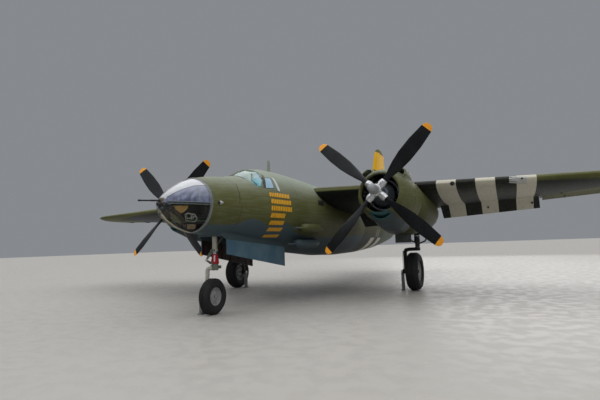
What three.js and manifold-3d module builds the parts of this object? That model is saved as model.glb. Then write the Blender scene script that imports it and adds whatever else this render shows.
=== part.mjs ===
// A preserved twin-engined medium bomber of the 1940s, parked on its tricycle gear and museum axle stands.
// Millimetres. X is across the span (port is +X), Y runs aft from the nose, Z is up, the floor is Z = 0.
// Stations along Y are counted from the tip of the nose glazing; the outer group shifts them to mid length.

import * as THREE from 'three';
import { mergeVertices } from 'three/addons/utils/BufferGeometryUtils.js';
import Module from 'manifold-3d';

const wasm = await Module();
wasm.setup();

// Driving dimensions.
const MID_LENGTH = 8400;
const GUN_TIP = -480;
const TAIL_END = 17280;
const HALF_SPAN = 10820;
const SKIN = 25;
const SEAT_GAP = 0.4;
const RUN_GAP = 11;
const ENGINE = { x: 3421, y: 3956, z: 2839, tilt: -4.57 };
const PROP_RADIUS = 2057;
const MAIN_WHEEL = { x: 3440, y: 7610, radius: 597, halfWidth: 200, rim: 300 };
const NOSE_WHEEL = { x: 0, y: 1760, radius: 420.5, halfWidth: 130, rim: 205 };
const NOSE_LEG_Y = 1860;

// Colours of the real finishes.
const OLIVE = new THREE.MeshStandardMaterial({ color: 0x4a4c33, roughness: 0.6, metalness: 0.1 });
const GREY = new THREE.MeshStandardMaterial({ color: 0x3d4650, roughness: 0.6, metalness: 0.1 });
const BLADE = new THREE.MeshStandardMaterial({ color: 0x23262a, roughness: 0.5, metalness: 0.2 });
const STEEL = new THREE.MeshStandardMaterial({ color: 0x8b9092, roughness: 0.4, metalness: 0.8 });
const DARK = new THREE.MeshStandardMaterial({ color: 0x1b1d20, roughness: 0.7, metalness: 0.3 });
const RUBBER = new THREE.MeshStandardMaterial({ color: 0x141416, roughness: 0.9, metalness: 0 });
const CLEAR = new THREE.MeshStandardMaterial({ color: 0x9fc4c8, roughness: 0.1, metalness: 0 });
const INTERIOR = new THREE.MeshStandardMaterial({ color: 0x3a4a34, roughness: 0.8, metalness: 0 });

const aircraft = new THREE.Group();
aircraft.position.y = -MID_LENGTH;

// Turns a closed geometry into a solid whose faces point outwards.
function solid(geometry) {
  const bare = new THREE.BufferGeometry();
  bare.setAttribute('position', geometry.attributes.position.clone());
  if (geometry.index) bare.setIndex(geometry.index.clone());
  const merged = mergeVertices(bare, 0.001);
  const corners = merged.attributes.position.array;
  const faces = new Uint32Array(merged.index.array);
  const a = new THREE.Vector3();
  const b = new THREE.Vector3();
  const c = new THREE.Vector3();
  let volume = 0;
  for (let i = 0; i < faces.length; i += 3) {
    a.fromArray(corners, faces[i] * 3);
    b.fromArray(corners, faces[i + 1] * 3);
    c.fromArray(corners, faces[i + 2] * 3);
    volume += a.dot(b.cross(c));
  }
  if (volume < 0) {
    for (let i = 0; i < faces.length; i += 3) {
      const keep = faces[i];
      faces[i] = faces[i + 1];
      faces[i + 1] = keep;
    }
  }
  return new wasm.Manifold(new wasm.Mesh({
    numProp: 3, vertProperties: new Float32Array(corners), triVerts: faces,
  }));
}

// Adds one named sub-part to its group.
function part(name, body, material, group = aircraft) {
  const shape = body.getMesh();
  const geometry = new THREE.BufferGeometry();
  geometry.setAttribute('position', new THREE.BufferAttribute(new Float32Array(shape.vertProperties), 3));
  geometry.setIndex(new THREE.BufferAttribute(new Uint32Array(shape.triVerts), 1));
  geometry.computeVertexNormals();
  const mesh = new THREE.Mesh(geometry, material);
  mesh.name = name;
  group.add(mesh);
  return mesh;
}

// Skins a row of rings that all have the same number of points, and closes both ends.
function loft(rings) {
  const count = rings[0].length;
  const positions = [];
  const faces = [];
  for (const ring of rings) for (const p of ring) positions.push(p.x, p.y, p.z);
  for (let r = 0; r + 1 < rings.length; r++) {
    for (let i = 0; i < count; i++) {
      const j = (i + 1) % count;
      const a = r * count + i;
      const b = r * count + j;
      faces.push(a, b, a + count, b, b + count, a + count);
    }
  }
  for (const [r, turned] of [[0, true], [rings.length - 1, false]]) {
    const centre = new THREE.Vector3();
    for (const p of rings[r]) centre.add(p);
    centre.divideScalar(count);
    const hub = positions.length / 3;
    positions.push(centre.x, centre.y, centre.z);
    for (let i = 0; i < count; i++) {
      const a = r * count + i;
      const b = r * count + (i + 1) % count;
      if (turned) faces.push(hub, b, a);
      else faces.push(hub, a, b);
    }
  }
  const geometry = new THREE.BufferGeometry();
  geometry.setAttribute('position', new THREE.Float32BufferAttribute(positions, 3));
  geometry.setIndex(faces);
  return solid(geometry);
}

// An egg-shaped ring across the aircraft: half its width, and the heights of its top and bottom.
function egg(x, y, half, middle, top, bottom, points, grow = 0) {
  const ring = [];
  for (let i = 0; i < points; i++) {
    const angle = (i / points) * Math.PI * 2;
    const rise = Math.sin(angle);
    const reach = rise > 0 ? top - middle : middle - bottom;
    ring.push(new THREE.Vector3(
      x + Math.cos(angle) * (half + grow), y, middle + rise * (reach + grow)));
  }
  return ring;
}

function box(x0, x1, y0, y1, z0, z1) {
  const geometry = new THREE.BoxGeometry(Math.abs(x1 - x0), y1 - y0, z1 - z0);
  geometry.translate((x0 + x1) / 2, (y0 + y1) / 2, (z0 + z1) / 2);
  return solid(geometry);
}

// A round bar between two points, which may taper.
function bar(from, to, radius, sides = 12, radiusTo = radius) {
  const a = new THREE.Vector3(...from);
  const b = new THREE.Vector3(...to);
  const geometry = new THREE.CylinderGeometry(radiusTo, radius, a.distanceTo(b), sides);
  const along = b.clone().sub(a).normalize();
  geometry.applyQuaternion(new THREE.Quaternion().setFromUnitVectors(new THREE.Vector3(0, 1, 0), along));
  const centre = a.add(b).divideScalar(2);
  geometry.translate(centre.x, centre.y, centre.z);
  return solid(geometry);
}

// A side-view outline of [station, height] points, carried across from x0 to x1.
function acrossPanel(outline, x0, x1) {
  const shape = new THREE.Shape(outline.map(([y, z]) => new THREE.Vector2(y, z)));
  const geometry = new THREE.ExtrudeGeometry(shape, { depth: Math.abs(x1 - x0), bevelEnabled: false });
  geometry.applyMatrix4(new THREE.Matrix4().makeBasis(
    new THREE.Vector3(0, 1, 0), new THREE.Vector3(0, 0, 1), new THREE.Vector3(1, 0, 0)));
  geometry.translate(Math.min(x0, x1), 0, 0);
  return solid(geometry);
}

// A turned piece about the X axis at a wheel's centre; the profile is [radius, offset across].
function turned(profile, x, y, z, segments) {
  const points = profile.map(([radius, across]) => new THREE.Vector2(radius, across));
  points.push(points[0].clone());
  const geometry = new THREE.LatheGeometry(points, segments);
  geometry.rotateZ(-Math.PI / 2);
  geometry.translate(x, y, z);
  return solid(geometry);
}

// FUSELAGE. Each row: station, half width, height of the widest line, top, bottom.
const FUSELAGE = [
  [1060, 615, 2560, 3150, 1900],
  [1600, 750, 2535, 3250, 1845],
  [2100, 860, 2525, 3300, 1785],
  [2500, 920, 2520, 3380, 1735],
  [2800, 975, 2510, 3515, 1697],
  [3150, 1025, 2500, 3635, 1650],
  [3600, 1075, 2490, 3700, 1590],
  [4400, 1150, 2475, 3710, 1475],
  [5500, 1220, 2450, 3670, 1330],
  [7200, 1250, 2430, 3570, 1190],
  [9000, 1245, 2410, 3490, 1145],
  [11000, 1200, 2395, 3420, 1180],
  [13000, 1070, 2390, 3340, 1285],
  [14600, 890, 2410, 3250, 1440],
  [15800, 735, 2445, 3180, 1580],
  [16450, 640, 2480, 3130, 1670],
];
const FUSELAGE_POINTS = 24;
const LINING_POINTS = 16;
const JOINTS = { nose: 1060, wing: 5950, tail: 9600, gunner: 16450 };

function fuselageAt(y) {
  let i = 0;
  while (i < FUSELAGE.length - 2 && FUSELAGE[i + 1][0] < y) i += 1;
  const t = (y - FUSELAGE[i][0]) / (FUSELAGE[i + 1][0] - FUSELAGE[i][0]);
  return FUSELAGE[i].map((value, k) => value + t * (FUSELAGE[i + 1][k] - value));
}

function fuselageSolid(y0, y1, grow) {
  const points = grow < 0 ? LINING_POINTS : FUSELAGE_POINTS;
  const frames = [...FUSELAGE.map((row) => row[0]), ...Object.values(JOINTS)].sort((a, b) => a - b);
  const stations = [y0, ...frames.filter((y, i) => y > y0 + 1 && y < y1 - 1 && y !== frames[i - 1]), y1];
  return loft(stations.map((y) => {
    const [, half, middle, top, bottom] = fuselageAt(y);
    return egg(0, y, half, middle, top, bottom, points, grow);
  }));
}

function fuselageShell(y0, y1, outer = 0, inner = -SKIN) {
  return fuselageSolid(y0, y1, outer).subtract(fuselageSolid(y0 - 1, y1 + 1, inner));
}

// Windows of the flight deck, seen from the side: windscreen, then the side window.
const WINDSCREEN = [
  [2500, 3420], [2530, 3200], [2610, 3035], [2750, 3035],
  [3060, 3400], [3130, 3480], [3150, 3800], [2500, 3800],
];
const SIDE_WINDOW = [[2830, 3040], [3140, 3040], [3320, 3340], [3010, 3340]];
const CENTRE_POST = 35;

function inset(outline, amount) {
  const cy = outline.reduce((sum, p) => sum + p[0], 0) / outline.length;
  const cz = outline.reduce((sum, p) => sum + p[1], 0) / outline.length;
  return outline.map(([y, z]) => {
    const length = Math.hypot(y - cy, z - cz);
    return [y - ((y - cy) / length) * amount, z - ((z - cz) / length) * amount];
  });
}

// The nose wheel's bay in the belly, a little wider aft where the wheel lies. Its walls reach down to
// the hinge lines of the doors, which run straight from front to back.
const DOOR = { front: 1820, back: 4290, xFront: 360, xBack: 530, zFront: 1745, zBack: 1518, dropFront: 345,
  dropBack: 535, thick: 24 };
const BAY = { front: 1700, back: 4340, roof: 2120, wall: 22, noseEdge: 1832 };
const doorShare = (y) => (y - DOOR.front) / (DOOR.back - DOOR.front);
const doorX = (y) => DOOR.xFront + (DOOR.xBack - DOOR.xFront) * doorShare(y);
const doorZ = (y) => DOOR.zFront + (DOOR.zBack - DOOR.zFront) * doorShare(y);
const bayHalf = (y) => doorX(y) - 2;

function baySolid(margin, bottoms, roof) {
  const rows = [BAY.front - margin, DOOR.front, DOOR.back, BAY.back + margin];
  return loft(rows.map((y, i) => [[1, bottoms[i]], [1, roof], [-1, roof], [-1, bottoms[i]]].map(
    ([side, z]) => new THREE.Vector3(side * (bayHalf(y) + margin), y, z))));
}
const bayFloors = [BAY.noseEdge, DOOR.zFront + SEAT_GAP, DOOR.zBack + SEAT_GAP, DOOR.zBack + SEAT_GAP];
const bayWalls = baySolid(BAY.wall, bayFloors, BAY.roof + BAY.wall);
const bayCutter = baySolid(0, [1000, 1000, 1000, 1000], BAY.roof);

let forward = fuselageShell(JOINTS.nose, JOINTS.wing - SEAT_GAP);
forward = forward.subtract(acrossPanel(WINDSCREEN, CENTRE_POST, 1400));
forward = forward.subtract(acrossPanel(WINDSCREEN, -1400, -CENTRE_POST));
forward = forward.subtract(acrossPanel(SIDE_WINDOW, 600, 1400));
forward = forward.subtract(acrossPanel(SIDE_WINDOW, -1400, -600));
forward = forward.add(bayWalls).subtract(bayCutter);

// Four fixed side fairings, each a long blister with a plain tube ahead. Columns: x, height, start, end.
const BLISTERS = [
  [1165, 2020, 4250, 5620],
  [960, 1590, 4200, 5800],
];
for (const side of [1, -1]) {
  for (const [x, z, y0, y1] of BLISTERS) {
    const rings = [[0, 40], [60, 110], [200, 135], [y1 - y0 - 350, 140], [y1 - y0, 30]].map(
      ([along, radius]) => egg(side * (x - 20), y0 + along, radius * 1.15, z, z + radius, z - radius, 8));
    forward = forward.add(loft(rings).subtract(fuselageSolid(JOINTS.nose, JOINTS.wing, -SKIN / 2)));
    forward = forward.add(bar([side * (x + 10), y0 - 440, z], [side * (x + 10), y0 + 150, z], 26, 8));
  }
}
// Aerial mast and the small blade behind it.
forward = forward.add(acrossPanel([[4390, 3690], [4520, 3690], [4490, 4090], [4430, 4090]], -22, 22));
part('forward_fuselage', forward, OLIVE);

for (const [name, side] of [['windscreen_port', 1], ['windscreen_starboard', -1]]) {
  const glass = fuselageShell(2300, 3500, -8, -20).intersect(
    acrossPanel(inset(WINDSCREEN, 0.5), side * (CENTRE_POST + SEAT_GAP), side * 1400));
  part(name, glass, CLEAR);
}
for (const [name, side] of [['side_window_port', 1], ['side_window_starboard', -1]]) {
  part(name, fuselageShell(2600, 3600, -8, -20).intersect(
    acrossPanel(inset(SIDE_WINDOW, 0.5), side * 600, side * 1400)), CLEAR);
}

// Glazed nose: a blown dome, open at the back. Rows: station, half width, middle, top, bottom.
const NOSE = [
  [62, 45, 2440, 2490, 2385],
  [100, 115, 2450, 2570, 2310],
  [185, 205, 2470, 2665, 2222],
  [310, 300, 2490, 2762, 2140],
  [520, 418, 2520, 2900, 2035],
  [780, 528, 2545, 3040, 1952],
  [1059.6, 614, 2560, 3149, 1901],
];
const NOSE_GLASS = 12;
function noseSolid(grow, backwards) {
  return loft(NOSE.map(([y, half, middle, top, bottom], row) => egg(
    0, y + (row === 0 ? backwards : 0) + (row === NOSE.length - 1 && backwards ? 2 : 0),
    half, middle, top, bottom, grow < 0 ? LINING_POINTS : FUSELAGE_POINTS, grow)));
}
const GUN = { y: 150, z: 2545, ball: 85, tube: 24, drop: 27, lift: 60 };
let glazing = noseSolid(0, 0).subtract(noseSolid(-NOSE_GLASS, NOSE_GLASS));
const ballSeat = new THREE.SphereGeometry(GUN.ball + SEAT_GAP, 12, 8);
ballSeat.translate(0, GUN.y, GUN.z);
glazing = glazing.subtract(solid(ballSeat));
part('nose_glazing', glazing, CLEAR);
const ball = new THREE.SphereGeometry(GUN.ball, 12, 8);
ball.translate(0, GUN.y, GUN.z);
part('nose_gun', solid(ball)
  .add(bar([0, GUN_TIP - 20, GUN.z - GUN.drop], [0, 700, GUN.z + GUN.lift], GUN.tube, 8))
  .add(box(-60, 60, 480, 900, GUN.z, GUN.z + 130))
  .subtract(box(-60, 60, GUN_TIP - 50, GUN_TIP, GUN.z - 200, GUN.z + 100)), DARK);

part('centre_fuselage', fuselageShell(JOINTS.wing, JOINTS.tail - SEAT_GAP), OLIVE);

// Rear fuselage, with the round hole for the dorsal turret and the fairing that ends it.
const TURRET = { y: 11900, radius: 470, seat: 3480 };
let rear = fuselageShell(JOINTS.tail, JOINTS.gunner, 0, -18);
rear = rear.add(bar([0, TURRET.y, 3270], [0, TURRET.y, TURRET.seat], TURRET.radius + 40, 24))
  .subtract(bar([0, TURRET.y, 3000], [0, TURRET.y, 4200], TURRET.radius - 60, 24));

// Wing planform: the leading edge and the chord go straight from the centre line to the tip. Outboard of
// the flaps the section turns nose down by the washout.
const WING = { lead: 5450, leadSlope: 0.1344, chord: 3950, chordSlope: -0.2125, z: 3180, zSlope: -0.0075,
  incidence: 8.8, washout: 3.3, twistFrom: 7160, thickRoot: 0.17, thickTip: 0.12 };
const AIRFOIL_STEPS = [0, 0.015, 0.06, 0.14, 0.26, 0.42, 0.6, 0.8, 1];

// Half thickness of the section as a share of its chord, at a share of the chord.
function halfThickness(share, thick) {
  const s = Math.min(Math.max(share, 0), 1);
  const shape = 0.2969 * Math.sqrt(s) - 0.126 * s - 0.3516 * s ** 2 + 0.2843 * s ** 3 - 0.1015 * s ** 4;
  return 5 * thick * shape;
}

// Section of a flying surface: a root point, chord direction, normal direction, chord and thickness.
function foil(lead, along, normal, chord, thick, grow = 0) {
  const upper = [];
  const lower = [];
  for (const share of AIRFOIL_STEPS) {
    const half = Math.max(halfThickness(share, thick) * chord, 4) + grow;
    const reach = share * chord + (share === 0 ? -grow : share === 1 ? grow : 0);
    const centre = lead.clone().addScaledVector(along, reach);
    upper.push(centre.clone().addScaledVector(normal, share === 0 ? half * 0.5 : half));
    lower.push(centre.clone().addScaledVector(normal, share === 0 ? -half * 0.5 : -half));
  }
  return [...upper, ...lower.reverse()];
}

function wingFrame(x) {
  const span = Math.abs(x);
  const outboard = Math.max(span - WING.twistFrom, 0) / (HALF_SPAN - WING.twistFrom);
  const angle = THREE.MathUtils.degToRad(WING.incidence - WING.washout * outboard);
  return {
    lead: new THREE.Vector3(x, WING.lead + WING.leadSlope * span, WING.z + WING.zSlope * span),
    along: new THREE.Vector3(0, Math.cos(angle), -Math.sin(angle)),
    normal: new THREE.Vector3(0, Math.sin(angle), Math.cos(angle)),
    chord: WING.chord + WING.chordSlope * span,
    thick: WING.thickRoot + (WING.thickTip - WING.thickRoot) * (span / HALF_SPAN),
  };
}

const WING_ROOT = 880;
// The round tip. Columns: distance outboard, share cut off the front, share of the chord that is left.
const TIP_START = HALF_SPAN - 700;
const TIP_ROUND = [
  [300, 0.02, 0.95],
  [500, 0.07, 0.84],
  [620, 0.15, 0.68],
  [680, 0.25, 0.48],
  [700, 0.36, 0.26],
];

function wingSolid(side, grow = 0) {
  const rings = [WING_ROOT, WING.twistFrom, TIP_START].map((span) => {
    const f = wingFrame(side * span);
    return foil(f.lead, f.along, f.normal, f.chord, f.thick, grow);
  });
  for (const [out, cut, size] of TIP_ROUND) {
    const f = wingFrame(side * (TIP_START + out));
    const lead = f.lead.clone().addScaledVector(f.along, f.chord * cut);
    rings.push(foil(lead, f.along, f.normal, f.chord * size, f.thick * (1 - cut), grow));
  }
  return loft(rings);
}

// A hinged surface lies between two hinge points: a round nose about the hinge line, then flat to its edge.
// Its frame has u along the hinge line, v aft and w along the surface's normal.
function hingeFrame(from, to, normal) {
  const u = to.clone().sub(from).normalize();
  const v = new THREE.Vector3().crossVectors(normal, u).normalize();
  if (v.y < 0) v.negate();
  const w = new THREE.Vector3().crossVectors(u, v).normalize();
  if (w.dot(normal) < 0) w.negate();
  return { u, v, w };
}

function roundNose(at, frame, radius, from, to) {
  const steps = 6;
  const ring = [];
  for (let i = 0; i <= steps; i++) {
    const angle = THREE.MathUtils.degToRad(from + ((to - from) * i) / steps);
    ring.push(at.clone().addScaledVector(frame.v, Math.cos(angle) * radius)
      .addScaledVector(frame.w, Math.sin(angle) * radius));
  }
  return ring;
}

function hingedRing(at, frame, radius, chord) {
  const edge = at.clone().addScaledVector(frame.v, chord);
  return [
    ...roundNose(at, frame, radius, 90, 270),
    edge.clone().addScaledVector(frame.w, -5),
    edge.clone().addScaledVector(frame.w, 5),
  ];
}

// The space that a hinged surface moves in. A flap's lower lip is cut back, so that it can swing down.
const SPACE_DEPTH = 400;
const SPACE_AFT = 2500;
function hingeSpaceRing(at, frame, radius, swingsDown) {
  const corner = (v, w) => at.clone().addScaledVector(frame.v, v).addScaledVector(frame.w, w);
  return [
    corner(SPACE_AFT, SPACE_DEPTH),
    corner(0, SPACE_DEPTH),
    ...roundNose(at, frame, radius, 90, swingsDown ? 180 : 270),
    corner(swingsDown ? -radius : 0, -SPACE_DEPTH),
    corner(SPACE_AFT, -SPACE_DEPTH),
  ];
}

function hingedSurface(spec) {
  const frame = hingeFrame(spec.from, spec.to, spec.normal);
  const length = spec.from.distanceTo(spec.to);
  const at = (t) => spec.from.clone().addScaledVector(frame.u, t);
  const mix = (pair, t) => pair[0] + (pair[1] - pair[0]) * (t / length);
  let body = loft([RUN_GAP, length - RUN_GAP].map(
    (t) => hingedRing(at(t), frame, mix(spec.nose, t), mix(spec.chord, t))));
  const space = loft([0, length].map(
    (t) => hingeSpaceRing(at(t), frame, mix(spec.nose, t) + RUN_GAP, spec.swingsDown)));
  if (spec.rest) {
    const angle = THREE.MathUtils.degToRad(spec.rest) * Math.sign(frame.u.x);
    const { x, y, z } = spec.from;
    body = moved(body, new THREE.Matrix4().makeTranslation(x, y, z)
      .multiply(new THREE.Matrix4().makeRotationAxis(frame.u, angle))
      .multiply(new THREE.Matrix4().makeTranslation(-x, -y, -z)));
  }
  // Stubs that carry the surface at both ends of its hinge line.
  const grip = Math.min(...spec.nose) * 0.5;
  const stub = (t0, t1) => bar(at(t0).toArray(), at(t1).toArray(), grip, 10);
  const stubs = stub(-20, RUN_GAP - SEAT_GAP).add(stub(length - RUN_GAP + SEAT_GAP, length + 20));
  return { body, space, stubs };
}

// A solid carried by a matrix.
function moved(body, matrix) {
  const shape = body.getMesh();
  const geometry = new THREE.BufferGeometry();
  geometry.setAttribute('position', new THREE.BufferAttribute(new Float32Array(shape.vertProperties), 3));
  geometry.setIndex(new THREE.BufferAttribute(new Uint32Array(shape.triVerts), 1));
  geometry.applyMatrix4(matrix);
  return solid(geometry);
}

// Hinged surfaces of the wing, as they rest in the photo. Columns: name, inner x, outer x, share of chord
// at the hinge, rest angle to port, rest angle to starboard, swings down like a flap.
const WING_SURFACES = [
  ['flap_inner', 1370, 2580, 0.8, -44, -44, true],
  ['flap_outer', 4230, 7130, 0.8, -44, -44, true],
  ['aileron', 7190, 10180, 0.76, -7, 12, false],
];

function wingHinge(x, share) {
  const f = wingFrame(x);
  return {
    point: f.lead.clone().addScaledVector(f.along, f.chord * share),
    nose: halfThickness(share, f.thick) * f.chord,
    chord: f.chord * (1 - share),
    normal: f.normal,
  };
}

const NAMES = new Map([[1, 'port'], [-1, 'starboard']]);
const fuselageBlank = fuselageSolid(4500, 10500, SEAT_GAP);

for (const side of [1, -1]) {
  let wing = wingSolid(side).subtract(fuselageBlank);
  for (const [name, inner, outer, share, restPort, restStarboard, swingsDown] of WING_SURFACES) {
    const a = wingHinge(side * inner, share);
    const b = wingHinge(side * outer, share);
    const surface = hingedSurface({
      from: a.point,
      to: b.point,
      normal: a.normal,
      nose: [a.nose, b.nose],
      chord: [a.chord, b.chord],
      rest: side > 0 ? restPort : restStarboard,
      swingsDown,
    });
    wing = wing.subtract(surface.space).add(surface.stubs);
    part(`${name}_${NAMES.get(side)}`, surface.body, OLIVE);
  }
  part(`wing_${NAMES.get(side)}`, wing, OLIVE);
}

// NACELLES. Each row: station, half width, middle, top, bottom.
const NACELLE = [
  [6600, 790, 2600, 3400, 1740],
  [7400, 800, 2560, 3235, 1720],
  [8200, 760, 2540, 2990, 1770],
  [9000, 660, 2540, 2790, 1900],
  [9900, 460, 2580, 2740, 2130],
  [10700, 220, 2640, 2730, 2440],
  [10900, 80, 2655, 2690, 2590],
];
const NACELLE_POINTS = 20;
const COWL = { back: 1800, radius: 750, chin: 950, chinHalf: 415, chinMiddle: 600 };
const WELL = { front: 7050, back: 8350, half: 330, roof: 2640 };
const GEAR_PIN_Z = 2420;

function engineMatrix(side) {
  return new THREE.Matrix4().makeTranslation(side * ENGINE.x, ENGINE.y, ENGINE.z)
    .multiply(new THREE.Matrix4().makeRotationX(THREE.MathUtils.degToRad(ENGINE.tilt)));
}

// The nacelle's front ring follows the back of the cowl: a circle with the narrower chin below it.
const NACELLE_STEP = 5;
function cowlBackRing(grow) {
  const ring = [];
  const depth = COWL.chin - COWL.chinMiddle;
  for (let i = 0; i < NACELLE_POINTS; i++) {
    const angle = (i / NACELLE_POINTS) * Math.PI * 2;
    const [across, up] = [Math.cos(angle), Math.sin(angle)];
    const a = (across / COWL.chinHalf) ** 2 + (up / depth) ** 2;
    const b = (up * COWL.chinMiddle) / depth ** 2;
    const c = (COWL.chinMiddle / depth) ** 2 - 1;
    const root = b * b - a * c;
    const chin = root > 0 && up < 0 ? (-b + Math.sqrt(root)) / a : 0;
    const reach = Math.max(COWL.radius, chin) - NACELLE_STEP + grow;
    ring.push(new THREE.Vector3(across * reach, COWL.back + SEAT_GAP, up * reach));
  }
  return ring;
}

function nacelleBlank(side, grow = SEAT_GAP) {
  const front = cowlBackRing(grow).map((p) => p.applyMatrix4(engineMatrix(side)));
  const rest = NACELLE.map(([y, half, middle, top, bottom]) => egg(
    side * ENGINE.x, y, half, middle, top, bottom, NACELLE_POINTS, grow));
  return loft([front, ...rest]);
}

for (const side of [1, -1]) {
  const tag = NAMES.get(side);
  let nacelle = nacelleBlank(side, 0).subtract(wingSolid(side, SEAT_GAP));
  nacelle = nacelle.subtract(box(side * MAIN_WHEEL.x - WELL.half, side * MAIN_WHEEL.x + WELL.half,
    WELL.front, WELL.back, 1500, WELL.roof));
  part(`nacelle_${tag}`, nacelle, OLIVE);
}

// COWLS, ENGINES AND PROPELLERS, in a frame whose origin is the propeller's centre and -Y is forward.
// Cowl wall, outside then inside: [distance aft, radius].
const COWL_SIDES = 24;
const COWL_WALL = [
  [1800, 750], [1300, 755], [850, 735], [480, 655], [290, 580], [240, 540],
  [245, 505], [340, 500], [600, 600], [900, 690], [1800, 715],
];
// The room inside that wall, and the duct wall that the chin's mouth leaves standing.
const COWL_ROOM = [[100, 0], [100, 506], [340, 501], [600, 601], [900, 691], [1810, 716], [1810, 0]];
const DUCT_ROOF = [[200, 0], [200, 535], [340, 535], [600, 635], [900, 725], [1200, 735], [1200, 0]];

function aboutY(profile, segments) {
  const points = profile.map(([y, radius]) => new THREE.Vector2(radius, y));
  if (points[0].x > 0 && points[points.length - 1].x > 0) points.push(points[0].clone());
  return solid(new THREE.LatheGeometry(points, segments));
}

// A rounded box ring about a centre that lies off the engine's axis at an angle.
function earRing(y, angle, r0, r1, half) {
  const radial = new THREE.Vector3(Math.cos(angle), 0, Math.sin(angle));
  const across = new THREE.Vector3(-Math.sin(angle), 0, Math.cos(angle));
  const corner = Math.min(half, (r1 - r0) / 2) * 0.7;
  const spots = [[r0, -half], [r1 - corner, -half], [r1, -half + corner], [r1, half - corner],
    [r1 - corner, half], [r0, half]];
  return spots.map(([radius, side]) => new THREE.Vector3(0, y, 0)
    .addScaledVector(radial, radius).addScaledVector(across, side));
}

// Two intakes on top, at these angles from the horizontal.
// Columns: distance aft, inner radius, outer radius, half width.
const EARS = [54, 126];
const EAR_ROWS = [
  [610, 560, 850, 175],
  [780, 560, 872, 185],
  [1250, 560, 862, 190],
  [1795, 560, 755, 130],
];
const EAR_MOUTH = [
  [560, 690, 825, 145],
  [1000, 765, 830, 130],
];
// The chin and its crescent mouth. Columns: distance aft, half width, top, bottom.
const CHIN_ROWS = [
  [330, 300, -250, -688],
  [760, 360, -250, -790],
  [1200, 400, -250, -900],
  [1800, 420, -250, -950],
];
const CHIN_MOUTH = [
  [300, 262, -200, -660],
  [900, 300, -200, -770],
];

function cowlSolid() {
  let cowl = aboutY(COWL_WALL, COWL_SIDES);
  const inside = aboutY(COWL_ROOM, COWL_SIDES);
  for (const degrees of EARS) {
    const angle = THREE.MathUtils.degToRad(degrees);
    const ear = loft(EAR_ROWS.map(([y, r0, r1, half]) => earRing(y, angle, r0, r1, half)));
    cowl = cowl.add(ear.subtract(inside));
    cowl = cowl.subtract(loft(EAR_MOUTH.map(([y, r0, r1, half]) => earRing(y, angle, r0, r1, half))));
  }
  const chin = loft(CHIN_ROWS.map(([y, half, top, bottom]) => {
    const middle = (top + bottom) / 2;
    return egg(0, y, half, middle, top, bottom, 12);
  }));
  cowl = cowl.add(chin.subtract(inside));
  const mouth = loft(CHIN_MOUTH.map(([y, half, top, bottom]) => egg(0, y, half, -400, top, bottom, 12)));
  return cowl.subtract(mouth.subtract(aboutY(DUCT_ROOF, COWL_SIDES)));
}

// Engine: one heavy block with a ring of finned cylinders in front and the round gear case.
const HUB_BACK = 150;
const ENGINE_PROFILE = [
  [1800, 0], [1800, 560], [820, 560], [820, 330], [620, 300], [470, 200], [300, 140],
  [HUB_BACK + SEAT_GAP, 70], [HUB_BACK + SEAT_GAP, 0],
];
const CYLINDERS = 9;
function engineSolid() {
  let engine = aboutY(ENGINE_PROFILE, 16);
  for (let i = 0; i < CYLINDERS; i++) {
    const angle = (i / CYLINDERS) * Math.PI * 2 + Math.PI / 2;
    const [x, z] = [Math.cos(angle), Math.sin(angle)];
    engine = engine.add(bar([x * 450, 950, z * 450], [x * 655, 950, z * 655], 85, 6));
  }
  return engine;
}

// Propeller blade rows: radius, chord, thickness, pitch angle.
const BLADE_ROWS = [
  [230, 130, 130, 60], [420, 150, 120, 52], [640, 265, 76, 44], [1100, 380, 42, 33],
  [1500, 370, 30, 26], [1900, 290, 20, 21], [2020, 200, 12, 20], [PROP_RADIUS, 90, 8, 20],
];
const BLADE_SECTION = [[-0.5, 0], [-0.22, 0.48], [0.22, 0.44], [0.5, 0], [0.22, -0.44], [-0.22, -0.48]];

function bladeSolid(turn) {
  const spin = new THREE.Matrix4().makeRotationY(-turn);
  return loft(BLADE_ROWS.map(([radius, chord, thick, pitch]) => {
    const beta = THREE.MathUtils.degToRad(pitch);
    return BLADE_SECTION.map(([a, t]) => new THREE.Vector3(
      radius,
      -a * chord * Math.sin(beta) + t * thick * Math.cos(beta),
      a * chord * Math.cos(beta) + t * thick * Math.sin(beta),
    ).applyMatrix4(spin));
  }));
}

function propellerSolid(bladeAngle) {
  let propeller = aboutY([
    [HUB_BACK, 0], [HUB_BACK, 130], [90, 165], [-110, 165], [-190, 110], [-390, 105], [-470, 70], [-512, 0],
  ], 12);
  for (let i = 0; i < 4; i++) {
    const turn = THREE.MathUtils.degToRad(bladeAngle + 90 * i);
    const tip = [Math.cos(turn), Math.sin(turn)];
    propeller = propeller.add(bar([0, 0, 0], [tip[0] * 300, 0, tip[1] * 300], 92, 8));
    propeller = propeller.add(bladeSolid(turn));
  }
  return propeller;
}

for (const [side, bladeAngle] of [[1, 47.8], [-1, 43.6]]) {
  const tag = NAMES.get(side);
  const group = new THREE.Group();
  group.position.set(side * ENGINE.x, ENGINE.y, ENGINE.z);
  group.rotation.x = THREE.MathUtils.degToRad(ENGINE.tilt);
  aircraft.add(group);
  part(`cowl_${tag}`, cowlSolid(), OLIVE, group);
  part(`engine_${tag}`, engineSolid(), DARK, group);
  part(`propeller_${tag}`, propellerSolid(bladeAngle), BLADE, group);
}

// MAIN GEAR. Leg, half fork over the tyre and down its inner side, axle, brace hoop and front door.
function tyreProfile(radius, rim, half) {
  const wall = rim + (radius - rim) * 0.5;
  return [[rim, -half * 0.72], [wall, -half], [radius - 30, -half * 0.7], [radius, -half * 0.3],
    [radius, half * 0.3], [radius - 30, half * 0.7], [wall, half], [rim, half * 0.72]];
}

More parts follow.
